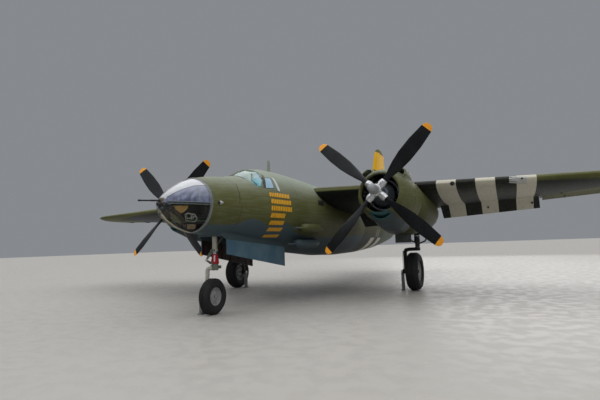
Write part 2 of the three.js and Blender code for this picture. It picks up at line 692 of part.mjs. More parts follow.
function rimProfile(rim, half, bore) {
  return [
    [bore, -half * 0.6],
    [rim * 0.45, -half * 0.6],
    [rim * 0.6, -half * 0.3],
    [rim * 0.86, -half * 0.3],
    [rim - SEAT_GAP, -half * 0.68],
    [rim - SEAT_GAP, half * 0.68],
    [rim * 0.86, half * 0.3],
    [bore, half * 0.5],
  ];
}

const WHEEL_SIDES = 24;
const AXLE = { main: 45, nose: 32 };
const BORE_GAP = 0.8;
const MAIN_LEG_X = 3560;
for (const side of [1, -1]) {
  const tag = NAMES.get(side);
  const wheel = MAIN_WHEEL;
  const at = [side * wheel.x, wheel.y, wheel.radius];
  const mirrored = (profile) => profile.map(([radius, across]) => [radius, -side * across]);
  const tyre = mirrored(tyreProfile(wheel.radius, wheel.rim, wheel.halfWidth));
  const rim = mirrored(rimProfile(wheel.rim, wheel.halfWidth, AXLE.main + BORE_GAP));
  part(`main_tyre_${tag}`, turned(tyre, ...at, WHEEL_SIDES), RUBBER);
  part(`main_rim_${tag}`, turned(rim, ...at, WHEEL_SIDES), STEEL);

  const leg = side * MAIN_LEG_X;
  const arm = side * (wheel.x - 300);
  const crown = wheel.radius * 2 + 110;
  const pinEnd = WELL.half - SEAT_GAP;
  const crossPin = (y, z, radius) => bar(
    [side * wheel.x - pinEnd, y, z], [side * wheel.x + pinEnd, y, z], radius, 12);
  const legY = wheel.y + 10;
  const braceY = WELL.back - 90;
  const braceZ = 2540;
  part(`main_leg_${tag}`, bar([leg, legY, crown + 60 + SEAT_GAP], [leg, legY, GEAR_PIN_Z], 78, 16)
    .add(crossPin(legY, GEAR_PIN_Z, 60))
    .add(bar([leg, legY, 1880], [leg, braceY, braceZ], 36, 10))
    .add(crossPin(braceY, braceZ, 40)), DARK);
  const axleFrom = [side * (wheel.x - 435), wheel.y, wheel.radius];
  const axleTo = [side * (wheel.x + 130), wheel.y, wheel.radius];
  part(`main_fork_${tag}`, bar([leg, legY, crown - 40], [leg, legY, crown + 60], 105, 14)
    .add(box(Math.min(leg, arm), Math.max(leg, arm), wheel.y - 75, wheel.y + 85, crown - 50, crown + 30))
    .add(box(arm - 45, arm + 45, wheel.y - 65, wheel.y + 65, wheel.radius - 80, crown + 30))
    .add(bar(axleFrom, axleTo, AXLE.main, 16)), DARK);
}
// Drag brace behind each main leg, a curved hoop hung from the well's rear edge, and the door in front.
for (const side of [1, -1]) {
  const tag = NAMES.get(side);
  const leg = side * MAIN_WHEEL.x;
  const hoop = new THREE.CatmullRomCurve3([
    [-300, 1980], [-275, 1640], [-120, 1510], [120, 1500], [280, 1610], [310, 1980],
  ].map(([x, z]) => new THREE.Vector3(leg + side * x, WELL.back + 60, z)));
  const round = new THREE.Shape().absarc(0, 0, 26, 0, Math.PI * 2);
  const hoopShape = new THREE.ExtrudeGeometry(round, { steps: 9, curveSegments: 4, extrudePath: hoop });
  part(`gear_hoop_${tag}`, solid(hoopShape).subtract(nacelleBlank(side)), DARK);
  part(`gear_front_door_${tag}`, box(leg - 235, leg + 235, 6330, 6370, 1520, 1900)
    .subtract(nacelleBlank(side)), DARK);
}

// NOSE GEAR. A pale leg with torsion links, then the swivelling half fork on the starboard side.
const NOSE_FORK_TOP = 1180;
const noseAxle = [NOSE_WHEEL.x, NOSE_WHEEL.y, NOSE_WHEEL.radius];
const noseCrossPin = (y, z, radius) => {
  const end = bayHalf(y - radius) - SEAT_GAP;
  return bar([-end, y, z], [end, y, z], radius, 10);
};
const BRACE_TOP = { y: 2450, z: 2035 };
part('nose_leg', bar([0, NOSE_LEG_Y, NOSE_FORK_TOP + SEAT_GAP], [0, NOSE_LEG_Y, 2070], 62, 16)
  .add(noseCrossPin(NOSE_LEG_Y, 2010, 38))
  .add(bar([0, NOSE_LEG_Y, 1590], [0, BRACE_TOP.y, BRACE_TOP.z], 20, 8))
  .add(noseCrossPin(BRACE_TOP.y, BRACE_TOP.z, 24))
  .add(box(-50, 50, NOSE_LEG_Y - 150, NOSE_LEG_Y, 1480, 1530)), STEEL);
const ARM = { x: -215, y: NOSE_LEG_Y - 20 };
const axleAt = (x) => [x, NOSE_WHEEL.y, NOSE_WHEEL.radius];
part('nose_fork', bar([0, NOSE_LEG_Y, 1020], [0, NOSE_LEG_Y, NOSE_FORK_TOP], 80, 16)
  .add(bar([0, NOSE_LEG_Y, 1080], [ARM.x, ARM.y, 1060], 52, 12))
  .add(bar([ARM.x, ARM.y, 1095], [ARM.x, NOSE_WHEEL.y, NOSE_WHEEL.radius - 20], 48, 12))
  .add(bar(axleAt(-362), axleAt(90), AXLE.nose, 14)), STEEL);
const noseTyre = tyreProfile(NOSE_WHEEL.radius, NOSE_WHEEL.rim, NOSE_WHEEL.halfWidth);
const noseRim = rimProfile(NOSE_WHEEL.rim, NOSE_WHEEL.halfWidth, AXLE.nose + BORE_GAP);
part('nose_tyre', turned(noseTyre, ...noseAxle, WHEEL_SIDES), RUBBER);
part('nose_rim', turned(noseRim, ...noseAxle, WHEEL_SIDES), STEEL);

// Nose doors hang open from the edges of the bay; each hinges fore and aft along its inner top edge.
for (const side of [1, -1]) {
  const doorRing = (y, drop) => [[0, 0], [DOOR.thick, 0], [DOOR.thick, -drop], [0, -drop]].map(
    ([out, down]) => new THREE.Vector3(side * (doorX(y) + out), y, doorZ(y) + down));
  part(`nose_door_${NAMES.get(side)}`, loft([doorRing(DOOR.front, DOOR.dropFront),
    doorRing(DOOR.back, DOOR.dropBack)]).subtract(fuselageSolid(JOINTS.nose, JOINTS.wing, SEAT_GAP)), GREY);
}

// TAIL. Tailplane with dihedral through the rear fuselage, fin with its long front fillet, hinged surfaces.
const TAILPLANE = {
  lead: 14350, leadTip: 14850, chord: 2050, chordTip: 1180, z: 3000, half: 4270, dihedral: 8,
};
function tailFrame(x) {
  const share = Math.abs(x) / TAILPLANE.half;
  return {
    lead: new THREE.Vector3(x, TAILPLANE.lead + (TAILPLANE.leadTip - TAILPLANE.lead) * share,
      TAILPLANE.z + Math.abs(x) * Math.tan(THREE.MathUtils.degToRad(TAILPLANE.dihedral))),
    along: new THREE.Vector3(0, 1, 0),
    normal: new THREE.Vector3(0, 0, 1),
    chord: TAILPLANE.chord + (TAILPLANE.chordTip - TAILPLANE.chord) * share,
    thick: 0.11,
  };
}
// The hollow between skins ahead of a hinge, open at the root.
const TAIL_SKIN = 16;
function sparBox(lead, along, normal, chord, thick, until) {
  const shares = [0.07, 0.2, 0.38, until];
  const ring = [...shares.map((share) => [share, 1]), ...shares.reverse().map((share) => [share, -1])];
  return ring.map(([share, face]) => lead.clone().addScaledVector(along, share * chord)
    .addScaledVector(normal, face * (halfThickness(share, thick) * chord - TAIL_SKIN)));
}

const ELEVATOR = { inner: 800, outer: 4060, share: 0.66 };
for (const side of [1, -1]) {
  const tag = NAMES.get(side);
  const rings = [300, TAILPLANE.half - 120].map((x) => {
    const f = tailFrame(side * x);
    return foil(f.lead, f.along, f.normal, f.chord, f.thick);
  });
  const tip = tailFrame(side * TAILPLANE.half);
  rings.push(foil(tip.lead.clone().addScaledVector(tip.along, tip.chord * 0.15), tip.along, tip.normal,
    tip.chord * 0.65, 0.06));
  const [a, b] = [ELEVATOR.inner, ELEVATOR.outer].map((x) => {
    const f = tailFrame(side * x);
    return { point: f.lead.clone().addScaledVector(f.along, f.chord * ELEVATOR.share),
      nose: halfThickness(ELEVATOR.share, f.thick) * f.chord, chord: f.chord * (1 - ELEVATOR.share) };
  });
  const surface = hingedSurface({ from: a.point, to: b.point, normal: new THREE.Vector3(0, 0, 1),
    nose: [a.nose, b.nose], chord: [a.chord, b.chord] });
  const hollow = loft([250, TAILPLANE.half - 300].map((x) => {
    const f = tailFrame(side * x);
    return sparBox(f.lead, f.along, f.normal, f.chord, f.thick, ELEVATOR.share - 0.1);
  }));
  part(`tailplane_${tag}`, loft(rings).subtract(hollow).subtract(fuselageSolid(13500, 16450, SEAT_GAP))
    .subtract(surface.space).add(surface.stubs), OLIVE);
  part(`elevator_${tag}`, surface.body, OLIVE);
}

// Fin sections. Columns: height, leading edge, trailing edge.
const FIN = [
  [3050, 13450, 16400],
  [3419, 13900, 16400],
  [3422, 13904, 17020],
  [4300, 14440, 17030],
  [6100, 15250, 16980],
  [6400, 15480, 16820],
  [6550, 15850, 16450],
];
const FIN_THICK = 0.09;
const AFT = new THREE.Vector3(0, 1, 0);
const SIDEWAYS = new THREE.Vector3(1, 0, 0);
const finRing = ([z, lead, trail]) => foil(
  new THREE.Vector3(0, lead, z), AFT, SIDEWAYS, trail - lead, FIN_THICK);
const RUDDER = { hinge: 16080, bottom: 3420, top: 6330, chordBottom: 940, chordTop: 880 };
const rudder = hingedSurface({
  from: new THREE.Vector3(0, RUDDER.hinge, RUDDER.bottom),
  to: new THREE.Vector3(0, RUDDER.hinge, RUDDER.top),
  normal: SIDEWAYS,
  nose: [75, 62],
  chord: [RUDDER.chordBottom, RUDDER.chordTop],
});
const FIN_HOLLOW = { top: 6000, aft: RUDDER.hinge - 180 };
const finHollow = loft(FIN.slice(0, 5).map(([z, lead, trail]) => {
  const root = new THREE.Vector3(0, lead, Math.min(z, FIN_HOLLOW.top));
  const until = (FIN_HOLLOW.aft - lead) / (trail - lead);
  return sparBox(root, AFT, SIDEWAYS, trail - lead, FIN_THICK, until);
}));
part('fin', loft(FIN.map(finRing)).subtract(finHollow).subtract(fuselageSolid(13000, 16450, SEAT_GAP))
  .subtract(rudder.space).add(rudder.stubs), OLIVE);
part('rudder', rudder.body, OLIVE);

// Rear gun position: a rounded glazed end with two short plain tubes.
// Columns: station, half width, top, bottom.
const END_ROWS = [[JOINTS.gunner, 640, 3130, 1670], [16800, 560, 3050, 1800], [17040, 400, 2900, 2060],
  [17110, 230, 2730, 2250]];
const END_MIDDLE = 2480;
const rearEnd = loft(END_ROWS.map(
  ([y, half, top, bottom]) => egg(0, y, half, END_MIDDLE, top, bottom, FUSELAGE_POINTS)));
part('rear_fuselage', rear, OLIVE);
part('tail_position', rearEnd.subtract(fuselageSolid(15000, JOINTS.gunner + SEAT_GAP, 5))
  .add(bar([90, 16900, END_MIDDLE], [90, TAIL_END, END_MIDDLE], GUN.tube, 8))
  .add(bar([-90, 16900, END_MIDDLE], [-90, TAIL_END, END_MIDDLE], GUN.tube, 8)), CLEAR);

// Dorsal turret: drum, dome and two plain tubes pointing aft.
const DOME_ROWS = [[0, 1], [105, 1], [255, 0.92], [375, 0.76], [465, 0.5], [500, 0.2]];
let turret = loft(DOME_ROWS.map(([rise, share]) => {
  const z = TURRET.seat + SEAT_GAP + rise;
  const ring = [];
  for (let i = 0; i < 20; i++) {
    const angle = (i / 20) * Math.PI * 2;
    ring.push(new THREE.Vector3(Math.cos(angle) * TURRET.radius * share,
      TURRET.y + Math.sin(angle) * TURRET.radius * share, z));
  }
  return ring;
}));
for (const x of [-150, 150]) {
  const inside = [x, TURRET.y + 300, TURRET.seat + 235];
  const muzzle = [x, TURRET.y + 1150, TURRET.seat + 275];
  turret = turret.add(bar(inside, muzzle, GUN.tube, 8));
}
part('dorsal_turret', turret, CLEAR);

// FLIGHT DECK: floor with the bulkhead behind the seats, instrument panel, two seats, nose floor.
const noseInside = fuselageSolid(JOINTS.nose, JOINTS.wing, -SKIN - SEAT_GAP);
const DECK_TOP = 2330;
const BAY_TOP = BAY.roof + BAY.wall + SEAT_GAP;
part('flight_deck', box(-980, 980, 2300, 4300, DECK_TOP - 30, DECK_TOP)
  .add(box(-1120, 1120, 4270, 4300, BAY_TOP, 3750))
  .intersect(noseInside), INTERIOR);
part('instrument_panel', box(-860, 860, 2560, 2600, DECK_TOP + SEAT_GAP, 3050)
  .intersect(noseInside), DARK);
const SEAT_SIDE = [
  [3150, DECK_TOP + SEAT_GAP], [3600, DECK_TOP + SEAT_GAP],
  [3760, 3250], [3690, 3260], [3540, 2700], [3120, 2700],
];
for (const side of [1, -1]) {
  part(`crew_seat_${NAMES.get(side)}`, acrossPanel(SEAT_SIDE, side * 200, side * 640), INTERIOR);
}
part('nose_floor', box(-700, 700, JOINTS.nose, 2200, BAY_TOP, BAY_TOP + 30).intersect(noseInside)
  .add(box(-290, 290, 700, JOINTS.nose + 50, BAY_TOP, BAY_TOP + 30)), INTERIOR);

// Museum axle stands: a square post with a foot under each axle.
for (const [name, x, y, top] of [
  ['stand_port', MAIN_WHEEL.x - 390, MAIN_WHEEL.y, MAIN_WHEEL.radius - AXLE.main - SEAT_GAP],
  ['stand_starboard', -MAIN_WHEEL.x + 390, MAIN_WHEEL.y, MAIN_WHEEL.radius - AXLE.main - SEAT_GAP],
  ['stand_nose', -320, NOSE_WHEEL.y, NOSE_WHEEL.radius - AXLE.nose - SEAT_GAP],
]) {
  const foot = box(x - 55, x + 55, y - 110, y + 110, 0, 14);
  part(name, box(x - 40, x + 40, y - 60, y + 60, 0, top).add(foot), GREY);
}

export default aircraft;
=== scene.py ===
from math import cos, hypot, pi, radians, sin, sqrt, tau

import bmesh
import bpy
from mathutils import Matrix, Vector
from mathutils.bvhtree import BVHTree


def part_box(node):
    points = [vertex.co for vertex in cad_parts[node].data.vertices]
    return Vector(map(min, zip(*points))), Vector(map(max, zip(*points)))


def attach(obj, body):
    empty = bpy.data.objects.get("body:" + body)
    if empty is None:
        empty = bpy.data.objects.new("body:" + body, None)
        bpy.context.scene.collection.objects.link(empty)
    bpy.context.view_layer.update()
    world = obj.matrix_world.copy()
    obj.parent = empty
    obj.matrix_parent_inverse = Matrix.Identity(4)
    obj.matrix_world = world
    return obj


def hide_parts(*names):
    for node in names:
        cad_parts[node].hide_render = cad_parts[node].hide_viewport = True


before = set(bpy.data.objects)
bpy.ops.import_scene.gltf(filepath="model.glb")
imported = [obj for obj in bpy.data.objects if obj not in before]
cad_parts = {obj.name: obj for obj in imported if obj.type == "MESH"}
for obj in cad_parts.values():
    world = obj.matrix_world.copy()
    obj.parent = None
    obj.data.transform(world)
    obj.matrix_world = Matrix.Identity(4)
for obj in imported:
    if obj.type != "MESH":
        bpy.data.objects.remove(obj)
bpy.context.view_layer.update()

# The camera stands where the visitor stood, ahead of the port wing and looking a little upwards.
# A 26 mm lens on a 36 mm wide picture, leaning two degrees to the left.
def vec(x, y, z):
    return Vector((x, y, z))


def placed(name, data):
    """A new object in the scene that carries the given mesh, light or camera."""
    thing = bpy.data.objects.new(name, data)
    bpy.context.scene.collection.objects.link(thing)
    return thing


CAMERA_PLACE = vec(6.579, -14.893, 1.545)
CAMERA_TURN = radians(26.94)
CAMERA_RISE = radians(5.98)
CAMERA_LEAN = radians(-1.95)
ahead = vec(-sin(CAMERA_TURN) * cos(CAMERA_RISE), cos(CAMERA_TURN) * cos(CAMERA_RISE), sin(CAMERA_RISE))
level = vec(cos(CAMERA_TURN), sin(CAMERA_TURN), 0)
upright = level.cross(ahead)
to_right = level * cos(CAMERA_LEAN) + upright * sin(CAMERA_LEAN)
to_top = upright * cos(CAMERA_LEAN) - level * sin(CAMERA_LEAN)
visitor = bpy.data.cameras.new("visitor")
visitor.lens = 25.94
visitor.sensor_width = 36
visitor.clip_end = 900
visitor_stand = placed("visitor", visitor)
camera_turned = Matrix((to_right, to_top, -ahead)).transposed().to_4x4()
visitor_stand.matrix_world = Matrix.Translation(CAMERA_PLACE) @ camera_turned
bpy.context.scene.camera = visitor_stand

# The hall is a pale plain floor under a wide soft skylight, with a weaker light ahead of the nose.
# A plain finish starts from the object's own coordinates, so that a pattern stays on its piece.
class Field:
    """A value or colour of a finish. Sums and products of fields add maths nodes to its tree."""

    def __init__(self, socket):
        self.socket = socket
        self.tree = socket.id_data

    def __add__(self, other):
        return reckon("ADD", self, other)

    def __radd__(self, other):
        return reckon("ADD", other, self)

    def __sub__(self, other):
        return reckon("SUBTRACT", self, other)

    def __rsub__(self, other):
        return reckon("SUBTRACT", other, self)

    def __mul__(self, other):
        return reckon("MULTIPLY", self, other)

    def __truediv__(self, other):
        return reckon("DIVIDE", self, other)


def wire(value, socket):
    value = getattr(value, "socket", value)
    if isinstance(value, bpy.types.NodeSocket):
        socket.id_data.links.new(value, socket)
    else:
        socket.default_value = (*value, 1) if socket.type == "RGBA" else value


def step(tree, kind, links, **settings):
    """Adds a node, sets its choices and joins the given values to its inputs by name or number."""
    node = tree.nodes.new(kind)
    for key, value in settings.items():
        setattr(node, key, value)
    for label, value in links.items():
        wire(value, node.inputs[label])
    return node


def reckon(operation, *values):
    tree = next(value.tree for value in values if isinstance(value, Field))
    inputs = dict(enumerate((*values, 0.0, 0.0)[:3]))
    return Field(step(tree, "ShaderNodeMath", inputs, operation=operation).outputs[0])


def mix(share, under, over):
    inputs = {"Factor": share, 6: under, 7: over}
    return Field(step(share.tree, "ShaderNodeMix", inputs, data_type="RGBA").outputs[2])


def stretched(place, scale):
    return Field(step(place.tree, "ShaderNodeMapping", {"Vector": place, "Scale": scale}).outputs[0])


def spread(value, low, high, new_low=0.0, new_high=1.0, kind="SMOOTHSTEP"):
    inputs = dict(enumerate((value, low, high, new_low, new_high)))
    return Field(step(value.tree, "ShaderNodeMapRange", inputs, interpolation_type=kind).outputs[0])


def mottle(place, scale, detail=4.0, low=0.35, high=0.65):
    """Soft noise, spread so that it runs from 0 to 1 between its low and high levels."""
    noise = step(place.tree, "ShaderNodeTexNoise", {"Vector": place, "Scale": scale, "Detail": detail})
    return spread(Field(noise.outputs[0]), low, high)


def split(place):
    return [Field(part) for part in step(place.tree, "ShaderNodeSeparateXYZ", {0: place}).outputs]


def facing(place):
    """The three parts of the object's own outward direction."""
    return split(Field(step(place.tree, "ShaderNodeTexCoord", {}).outputs["Normal"]))


def relief(shader, height, depth, strength=1.0):
    bump = step(height.tree, "ShaderNodeBump", {"Height": height, "Distance": depth, "Strength": strength})
    wire(bump.outputs[0], shader.inputs["Normal"])


def new_finish(name, roughness=0.5, metallic=0.0, specular=0.3):
    material = bpy.data.materials.new(name)
    material.use_nodes = True
    shader = material.node_tree.nodes["Principled BSDF"]
    shader.inputs["Roughness"].default_value = roughness
    shader.inputs["Metallic"].default_value = metallic
    shader.inputs["Specular IOR Level"].default_value = specular
    place = Field(step(material.node_tree, "ShaderNodeTexCoord", {}).outputs["Object"])
    return material, shader, place


def plain_finish(name, colour, worn, roughness=0.5, metallic=0.0, scale=6.0, depth=0.0008):
    """A paint, metal or rubber whose tone wanders between its colour and a worn one."""
    material, shader, place = new_finish(name, roughness, metallic)
    broad = mottle(place, scale)
    fine = mottle(place, scale * 14, 6.0)
    tone = mix(broad * 0.55, colour, worn)
    tone = mix(fine * 0.3, tone, worn)
    wire(tone, shader.inputs["Base Color"])
    rough = spread(fine, 0.0, 1.0, max(roughness - 0.1, 0.05), min(roughness + 0.1, 1.0))
    wire(rough, shader.inputs["Roughness"])
    relief(shader, fine, depth)
    return material


FLOOR_HALF = 260.0
floor_mesh = bpy.data.meshes.new("hall_floor")
floor_mesh.from_pydata([(-FLOOR_HALF, -FLOOR_HALF, 0), (FLOOR_HALF, -FLOOR_HALF, 0),
    (FLOOR_HALF, FLOOR_HALF, 0), (-FLOOR_HALF, FLOOR_HALF, 0)], [], [(0, 1, 2, 3)])
floor_mesh.materials.append(plain_finish("pale_floor", (0.385, 0.37, 0.345), (0.37, 0.355, 0.33), 0.5,
    scale=0.25, depth=0.0001))
hall_floor = placed("hall_floor", floor_mesh)

# The roof's glow comes from all over the sky, so a very wide sun stands for it.
roof_glow = bpy.data.lights.new("roof_glow", "SUN")
roof_glow.energy = 2.9
roof_glow.angle = radians(115)
placed("roof_glow", roof_glow)

# Each light: name, place, what it faces, width, height, power.
for name, spot, target, width, height, power in [("entrance", (17, -24, 12), (0, -4, 2.5), 12, 8, 700),
    ("end_wall", (4, 28, 9), (0, 4, 2.5), 20, 8, 1300)]:
    lamp = bpy.data.lights.new(name, "AREA")
    lamp.shape = "RECTANGLE"
    lamp.size = width
    lamp.size_y = height
    lamp.energy = power
    aim = (Vector(target) - Vector(spot)).to_track_quat("-Z", "Y")
    placed(name, lamp).matrix_world = Matrix.Translation(spot) @ aim.to_matrix().to_4x4()
hall = bpy.data.worlds.new("hall")
hall.use_nodes = True
hall.node_tree.nodes["Background"].inputs["Color"].default_value = (0.86, 0.9, 0.96, 1)
hall.node_tree.nodes["Background"].inputs["Strength"].default_value = 0.28
bpy.context.scene.world = hall
bpy.context.scene.view_settings.view_transform = "Standard"

# FUSELAGE. Alclad sheet lapped over ring frames and flush riveted, in three lengths joined at the wing.
# Olive drab above and blue-grey below, sprayed to a wavy edge, with black and white bands astern.
# The hull's rows: station from the nose, half width, widest line, top and bottom, in metres.
MID_LENGTH = 8.4
SIDES = {"port": 1, "starboard": -1}
HULL = [(0.062, 0.045, 2.44, 2.49, 2.385), (0.1, 0.115, 2.45, 2.57, 2.31),
    (0.185, 0.205, 2.47, 2.665, 2.222), (0.31, 0.3, 2.49, 2.762, 2.14), (0.52, 0.418, 2.52, 2.9, 2.035),
    (0.78, 0.528, 2.545, 3.04, 1.952), (1.06, 0.615, 2.56, 3.15, 1.9), (1.6, 0.75, 2.535, 3.25, 1.845),
    (2.1, 0.86, 2.525, 3.3, 1.785), (2.5, 0.92, 2.52, 3.38, 1.735), (2.8, 0.975, 2.51, 3.515, 1.697),
    (3.15, 1.025, 2.5, 3.635, 1.65), (3.6, 1.075, 2.49, 3.7, 1.59), (4.4, 1.15, 2.475, 3.71, 1.475),
    (5.5, 1.22, 2.45, 3.67, 1.33), (7.2, 1.25, 2.43, 3.57, 1.19), (9, 1.245, 2.41, 3.49, 1.145),
    (11, 1.2, 2.395, 3.42, 1.18), (13, 1.07, 2.39, 3.34, 1.285), (14.6, 0.89, 2.41, 3.25, 1.44),
    (15.8, 0.735, 2.445, 3.18, 1.58), (16.45, 0.64, 2.48, 3.13, 1.67)]


def hull_row(station):
    """Half width, widest line, top and bottom of the hull at a station."""
    for front, back in zip(HULL, HULL[1:]):
        if station <= back[0] or back is HULL[-1]:
            share = (station - front[0]) / (back[0] - front[0])
            return [a + (b - a) * share for a, b in zip(front[1:], back[1:])]


def hull_oval(station, height):
    """Half width and widest line of the hull, and how far it reaches from there towards a height."""
    half, middle, top, bottom = hull_row(station)
    return half, middle, top - middle if height > middle else middle - bottom


def hull_point(station, degrees, lift=0.0):
    """A point on the hull, counted round from port through the top, and how high it stands off."""
    half, middle, top, bottom = hull_row(station)
    angle = radians(degrees)
    reach = top - middle if sin(angle) > 0 else middle - bottom
    return vec((half + lift) * cos(angle), station - MID_LENGTH, middle + (reach + lift) * sin(angle))


def hull_side(station, height, lift=0.0, side=1):
    """The point of the hull's flank at a station and a height."""
    half, middle, reach = hull_oval(station, height)
    flank = sqrt(max(1 - ((height - middle) / reach) ** 2, 0.0))
    return vec(side * (half * flank + lift), station - MID_LENGTH, height)


def flank_out(point):
    """The direction straight out of the flank at a point."""
    half, middle, reach = hull_oval(point.y + MID_LENGTH, point.z)
    return vec(point.x / half ** 2, 0, (point.z - middle) / reach ** 2).normalized()


def hull_out(station, degrees):
    """The direction straight out of the hull there."""
    along = hull_point(station + 0.02, degrees) - hull_point(station - 0.02, degrees)
    around = hull_point(station, degrees + 1) - hull_point(station, degrees - 1)
    return around.cross(along).normalized() * -1


OLIVE = (0.078, 0.082, 0.024)
OLIVE_FADED = (0.125, 0.128, 0.052)
# Pale top tone: partly real fading in sunlight, partly a painted highlight where the skylight falls on the
# upper skin.
OLIVE_BLEACHED_SKYLIT = (0.245, 0.28, 0.225)
BLUE_GREY = (0.058, 0.094, 0.118)
BLUE_GREY_FADED = (0.082, 0.12, 0.142)
CHALK = (0.56, 0.53, 0.44)
SOOT = (0.01, 0.011, 0.013)
# Near-black tone laid over the lower skin as painted shade.
LOW_SHADE_TONE = (0.007, 0.007, 0.005)


def inside_band(value, low, high, soft=0.004):
    rising = spread(value, low - soft, low + soft)
    falling = spread(value, high - soft, high + soft, 1.0, 0.0)
    return rising * falling


def painted(name, belly=None, bands=(), band_place=None, below=None, panels=(0.9, 0.5), seams=(), extra=None,
    bleached_skylit_top=None, low_shade_heights=None, belly_grey=(BLUE_GREY, BLUE_GREY_FADED), specular=0.16):
    """Aircraft paint. belly is a function that gives the height of the blue-grey edge. bands are
    black and white stripes (from, to, colour) at a place, seams are dark lines at stations. The two
    height ranges give where the top is painted paler, partly real fading and partly painted highlight from
    the skylight, and where the lower skin is darkened with painted shade, and how strongly."""
    material, shader, place = new_finish(name, 0.55, specular=specular)
    x, y, z = split(place)
    broad = mottle(place, 0.9)
    fine = mottle(place, 34, 8.0)
    streak = mottle(stretched(place, (5, 0.6, 9)), 2.2, 5.0, 0.42, 0.72)
    sheet = step(place.tree, "ShaderNodeCombineXYZ", {0: reckon("FLOOR", y / panels[0]),
        1: reckon("FLOOR", (z + x) / panels[1])})
    sheet_tone = step(place.tree, "ShaderNodeTexWhiteNoise", {"Vector": sheet.outputs[0]})
    fade = broad * 0.4 + Field(sheet_tone.outputs["Value"]) * 0.16 + streak * 0.22
    tone = mix(fade, OLIVE, OLIVE_FADED)
    # Painted highlight mixed with real fading: the skin pales towards the top over the given heights.
    if bleached_skylit_top is not None:
        fade_and_highlight = streak * 0.12 + spread(z, *bleached_skylit_top)
        tone = mix(fade_and_highlight, tone, OLIVE_BLEACHED_SKYLIT)
    if belly is not None:
        grey = mix(fade, *belly_grey)
        edge = belly(y) - z + fine * 0.012
        tone = mix(spread(edge, -0.02, 0.03), tone, grey)
    # Painted shade: the skin darkens towards the bottom over the given heights, unevenly.
    if low_shade_heights is not None:
        low_shade_share = spread(z, *low_shade_heights) * spread(broad, 0.0, 1.0, 0.8, 1.0)
        tone = mix(low_shade_share, tone, LOW_SHADE_TONE)
    position = y if band_place is None else band_place(x, y)
    for low, high, colour in bands:
        share = inside_band(position, low, high)
        if below is not None:
            share = share * spread(z, below - 0.004, below + 0.004, 1.0, 0.0)
        share = share * spread(fine, 0.0, 0.15, 0.9, 1.0)
        worn = mix(streak * 0.12, colour, OLIVE_FADED)
        tone = mix(share, tone, worn)
    if extra is not None:
        tone = extra(tone, x, y, z)
    line = 0.0
    for seam in seams:
        line = line + reckon("COMPARE", y, seam, 0.0045)
    if seams:
        tone = mix(line * 0.7, tone, SOOT)
    tone = mix(fine * 0.07, tone, OLIVE_FADED)
    wire(tone, shader.inputs["Base Color"])
    wire(spread(fine, 0.0, 1.0, 0.46, 0.62), shader.inputs["Roughness"])
    height = fine * 0.3 + broad
    height = height - line * 2.0 if seams else height
    relief(shader, height, 0.0015, 0.6)
    return material


# The belly's edge as [station, height]: one long wave under the flight deck, then slow ones aft.
BELLY_EDGE = [(0.9, 2.1), (1.5, 2.07), (1.85, 2.09), (2.05, 2.17), (2.3, 2.215), (2.5, 2.19), (2.8, 2.11),
    (2.98, 2.06), (3.3, 2.11), (3.6, 2.14), (3.85, 2.1), (4.1, 1.99), (4.5, 1.86), (5.2, 1.8), (7, 1.78),
    (9, 1.86), (11, 1.8), (13, 1.98), (16.5, 2.45)]


def wavy_edge(y):
    curve = step(y.tree, "ShaderNodeFloatCurve", {})
    first, last = BELLY_EDGE[0][0], BELLY_EDGE[-1][0]
    line = curve.mapping.curves[0]
    for i, (station, height) in enumerate(BELLY_EDGE):
        spot = ((station - first) / (last - first), (height - 1.5) / 1.5)
        if i in (0, len(BELLY_EDGE) - 1):
            line.points[0 if i == 0 else -1].location = spot
        else:
            line.points.new(*spot)
    curve.mapping.update()
    share = spread(y, first - MID_LENGTH, last - MID_LENGTH, kind="LINEAR")
    wire(share, curve.inputs["Value"])
    return Field(curve.outputs[0]) * 1.5 + 1.5


TAIL_BANDS = [(1.7, 2.35, SOOT), (2.35, 2.95, CHALK), (2.95, 3.55, SOOT), (3.55, 4.15, CHALK),
    (4.15, 4.75, SOOT)]


def aft_grey(tone, x, y, z):
    """Two thin white lines on the port flank, and the paler grey-green undersides aft of the bands."""
    pale = spread(y, 4.15, 4.25) * spread(z, 2.0, 2.16, 1.0, 0.0)
    tone = mix(pale, tone, (0.05, 0.066, 0.042))
    lean = (z - 1.78) * 0.35 + y
    for spot in (3.1, 3.44):
        share = inside_band(lean, spot - 0.02, spot + 0.02)
        height = inside_band(z, 1.79, 2.1)
        tone = mix(share * height, tone, CHALK)
    return tone


hull_paint = painted("olive_over_blue_grey", wavy_edge, seams=(-6.54, -4.2, -2.452, -0.3, 1.198),
    bleached_skylit_top=(2.75, 3.5, 0, 0.95), low_shade_heights=(1.3, 3, 0.5, 0))
tail_paint = painted("olive_with_bands", wavy_edge, TAIL_BANDS, below=1.76, seams=(3, 5.2, 6.9),
    extra=aft_grey, bleached_skylit_top=(2.85, 3.5, 0, 0.8), low_shade_heights=(1.5, 3.1, 0.84, 0.15))


def shown(name, mesh, materials, stands_for=(), body="airframe", slot="olive_skin"):
    """Hangs a finished mesh on its CAD body, with its finish and the CAD pieces that it stands for."""
    piece = placed(name, mesh)
    for material in materials:
        mesh.materials.append(material)
    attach(piece, body)
    if stands_for:
        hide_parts(*stands_for)
    return piece


def smooth(mesh, degrees):
    mesh.shade_smooth()
    mesh.set_sharp_from_angle(angle=radians(degrees))


def welded(node):
    """A copy of a CAD node's triangles with its corners joined."""
    copy = bmesh.new()
    copy.from_mesh(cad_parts[node].data)
    bmesh.ops.remove_doubles(copy, verts=copy.verts, dist=0.00002)
    return copy


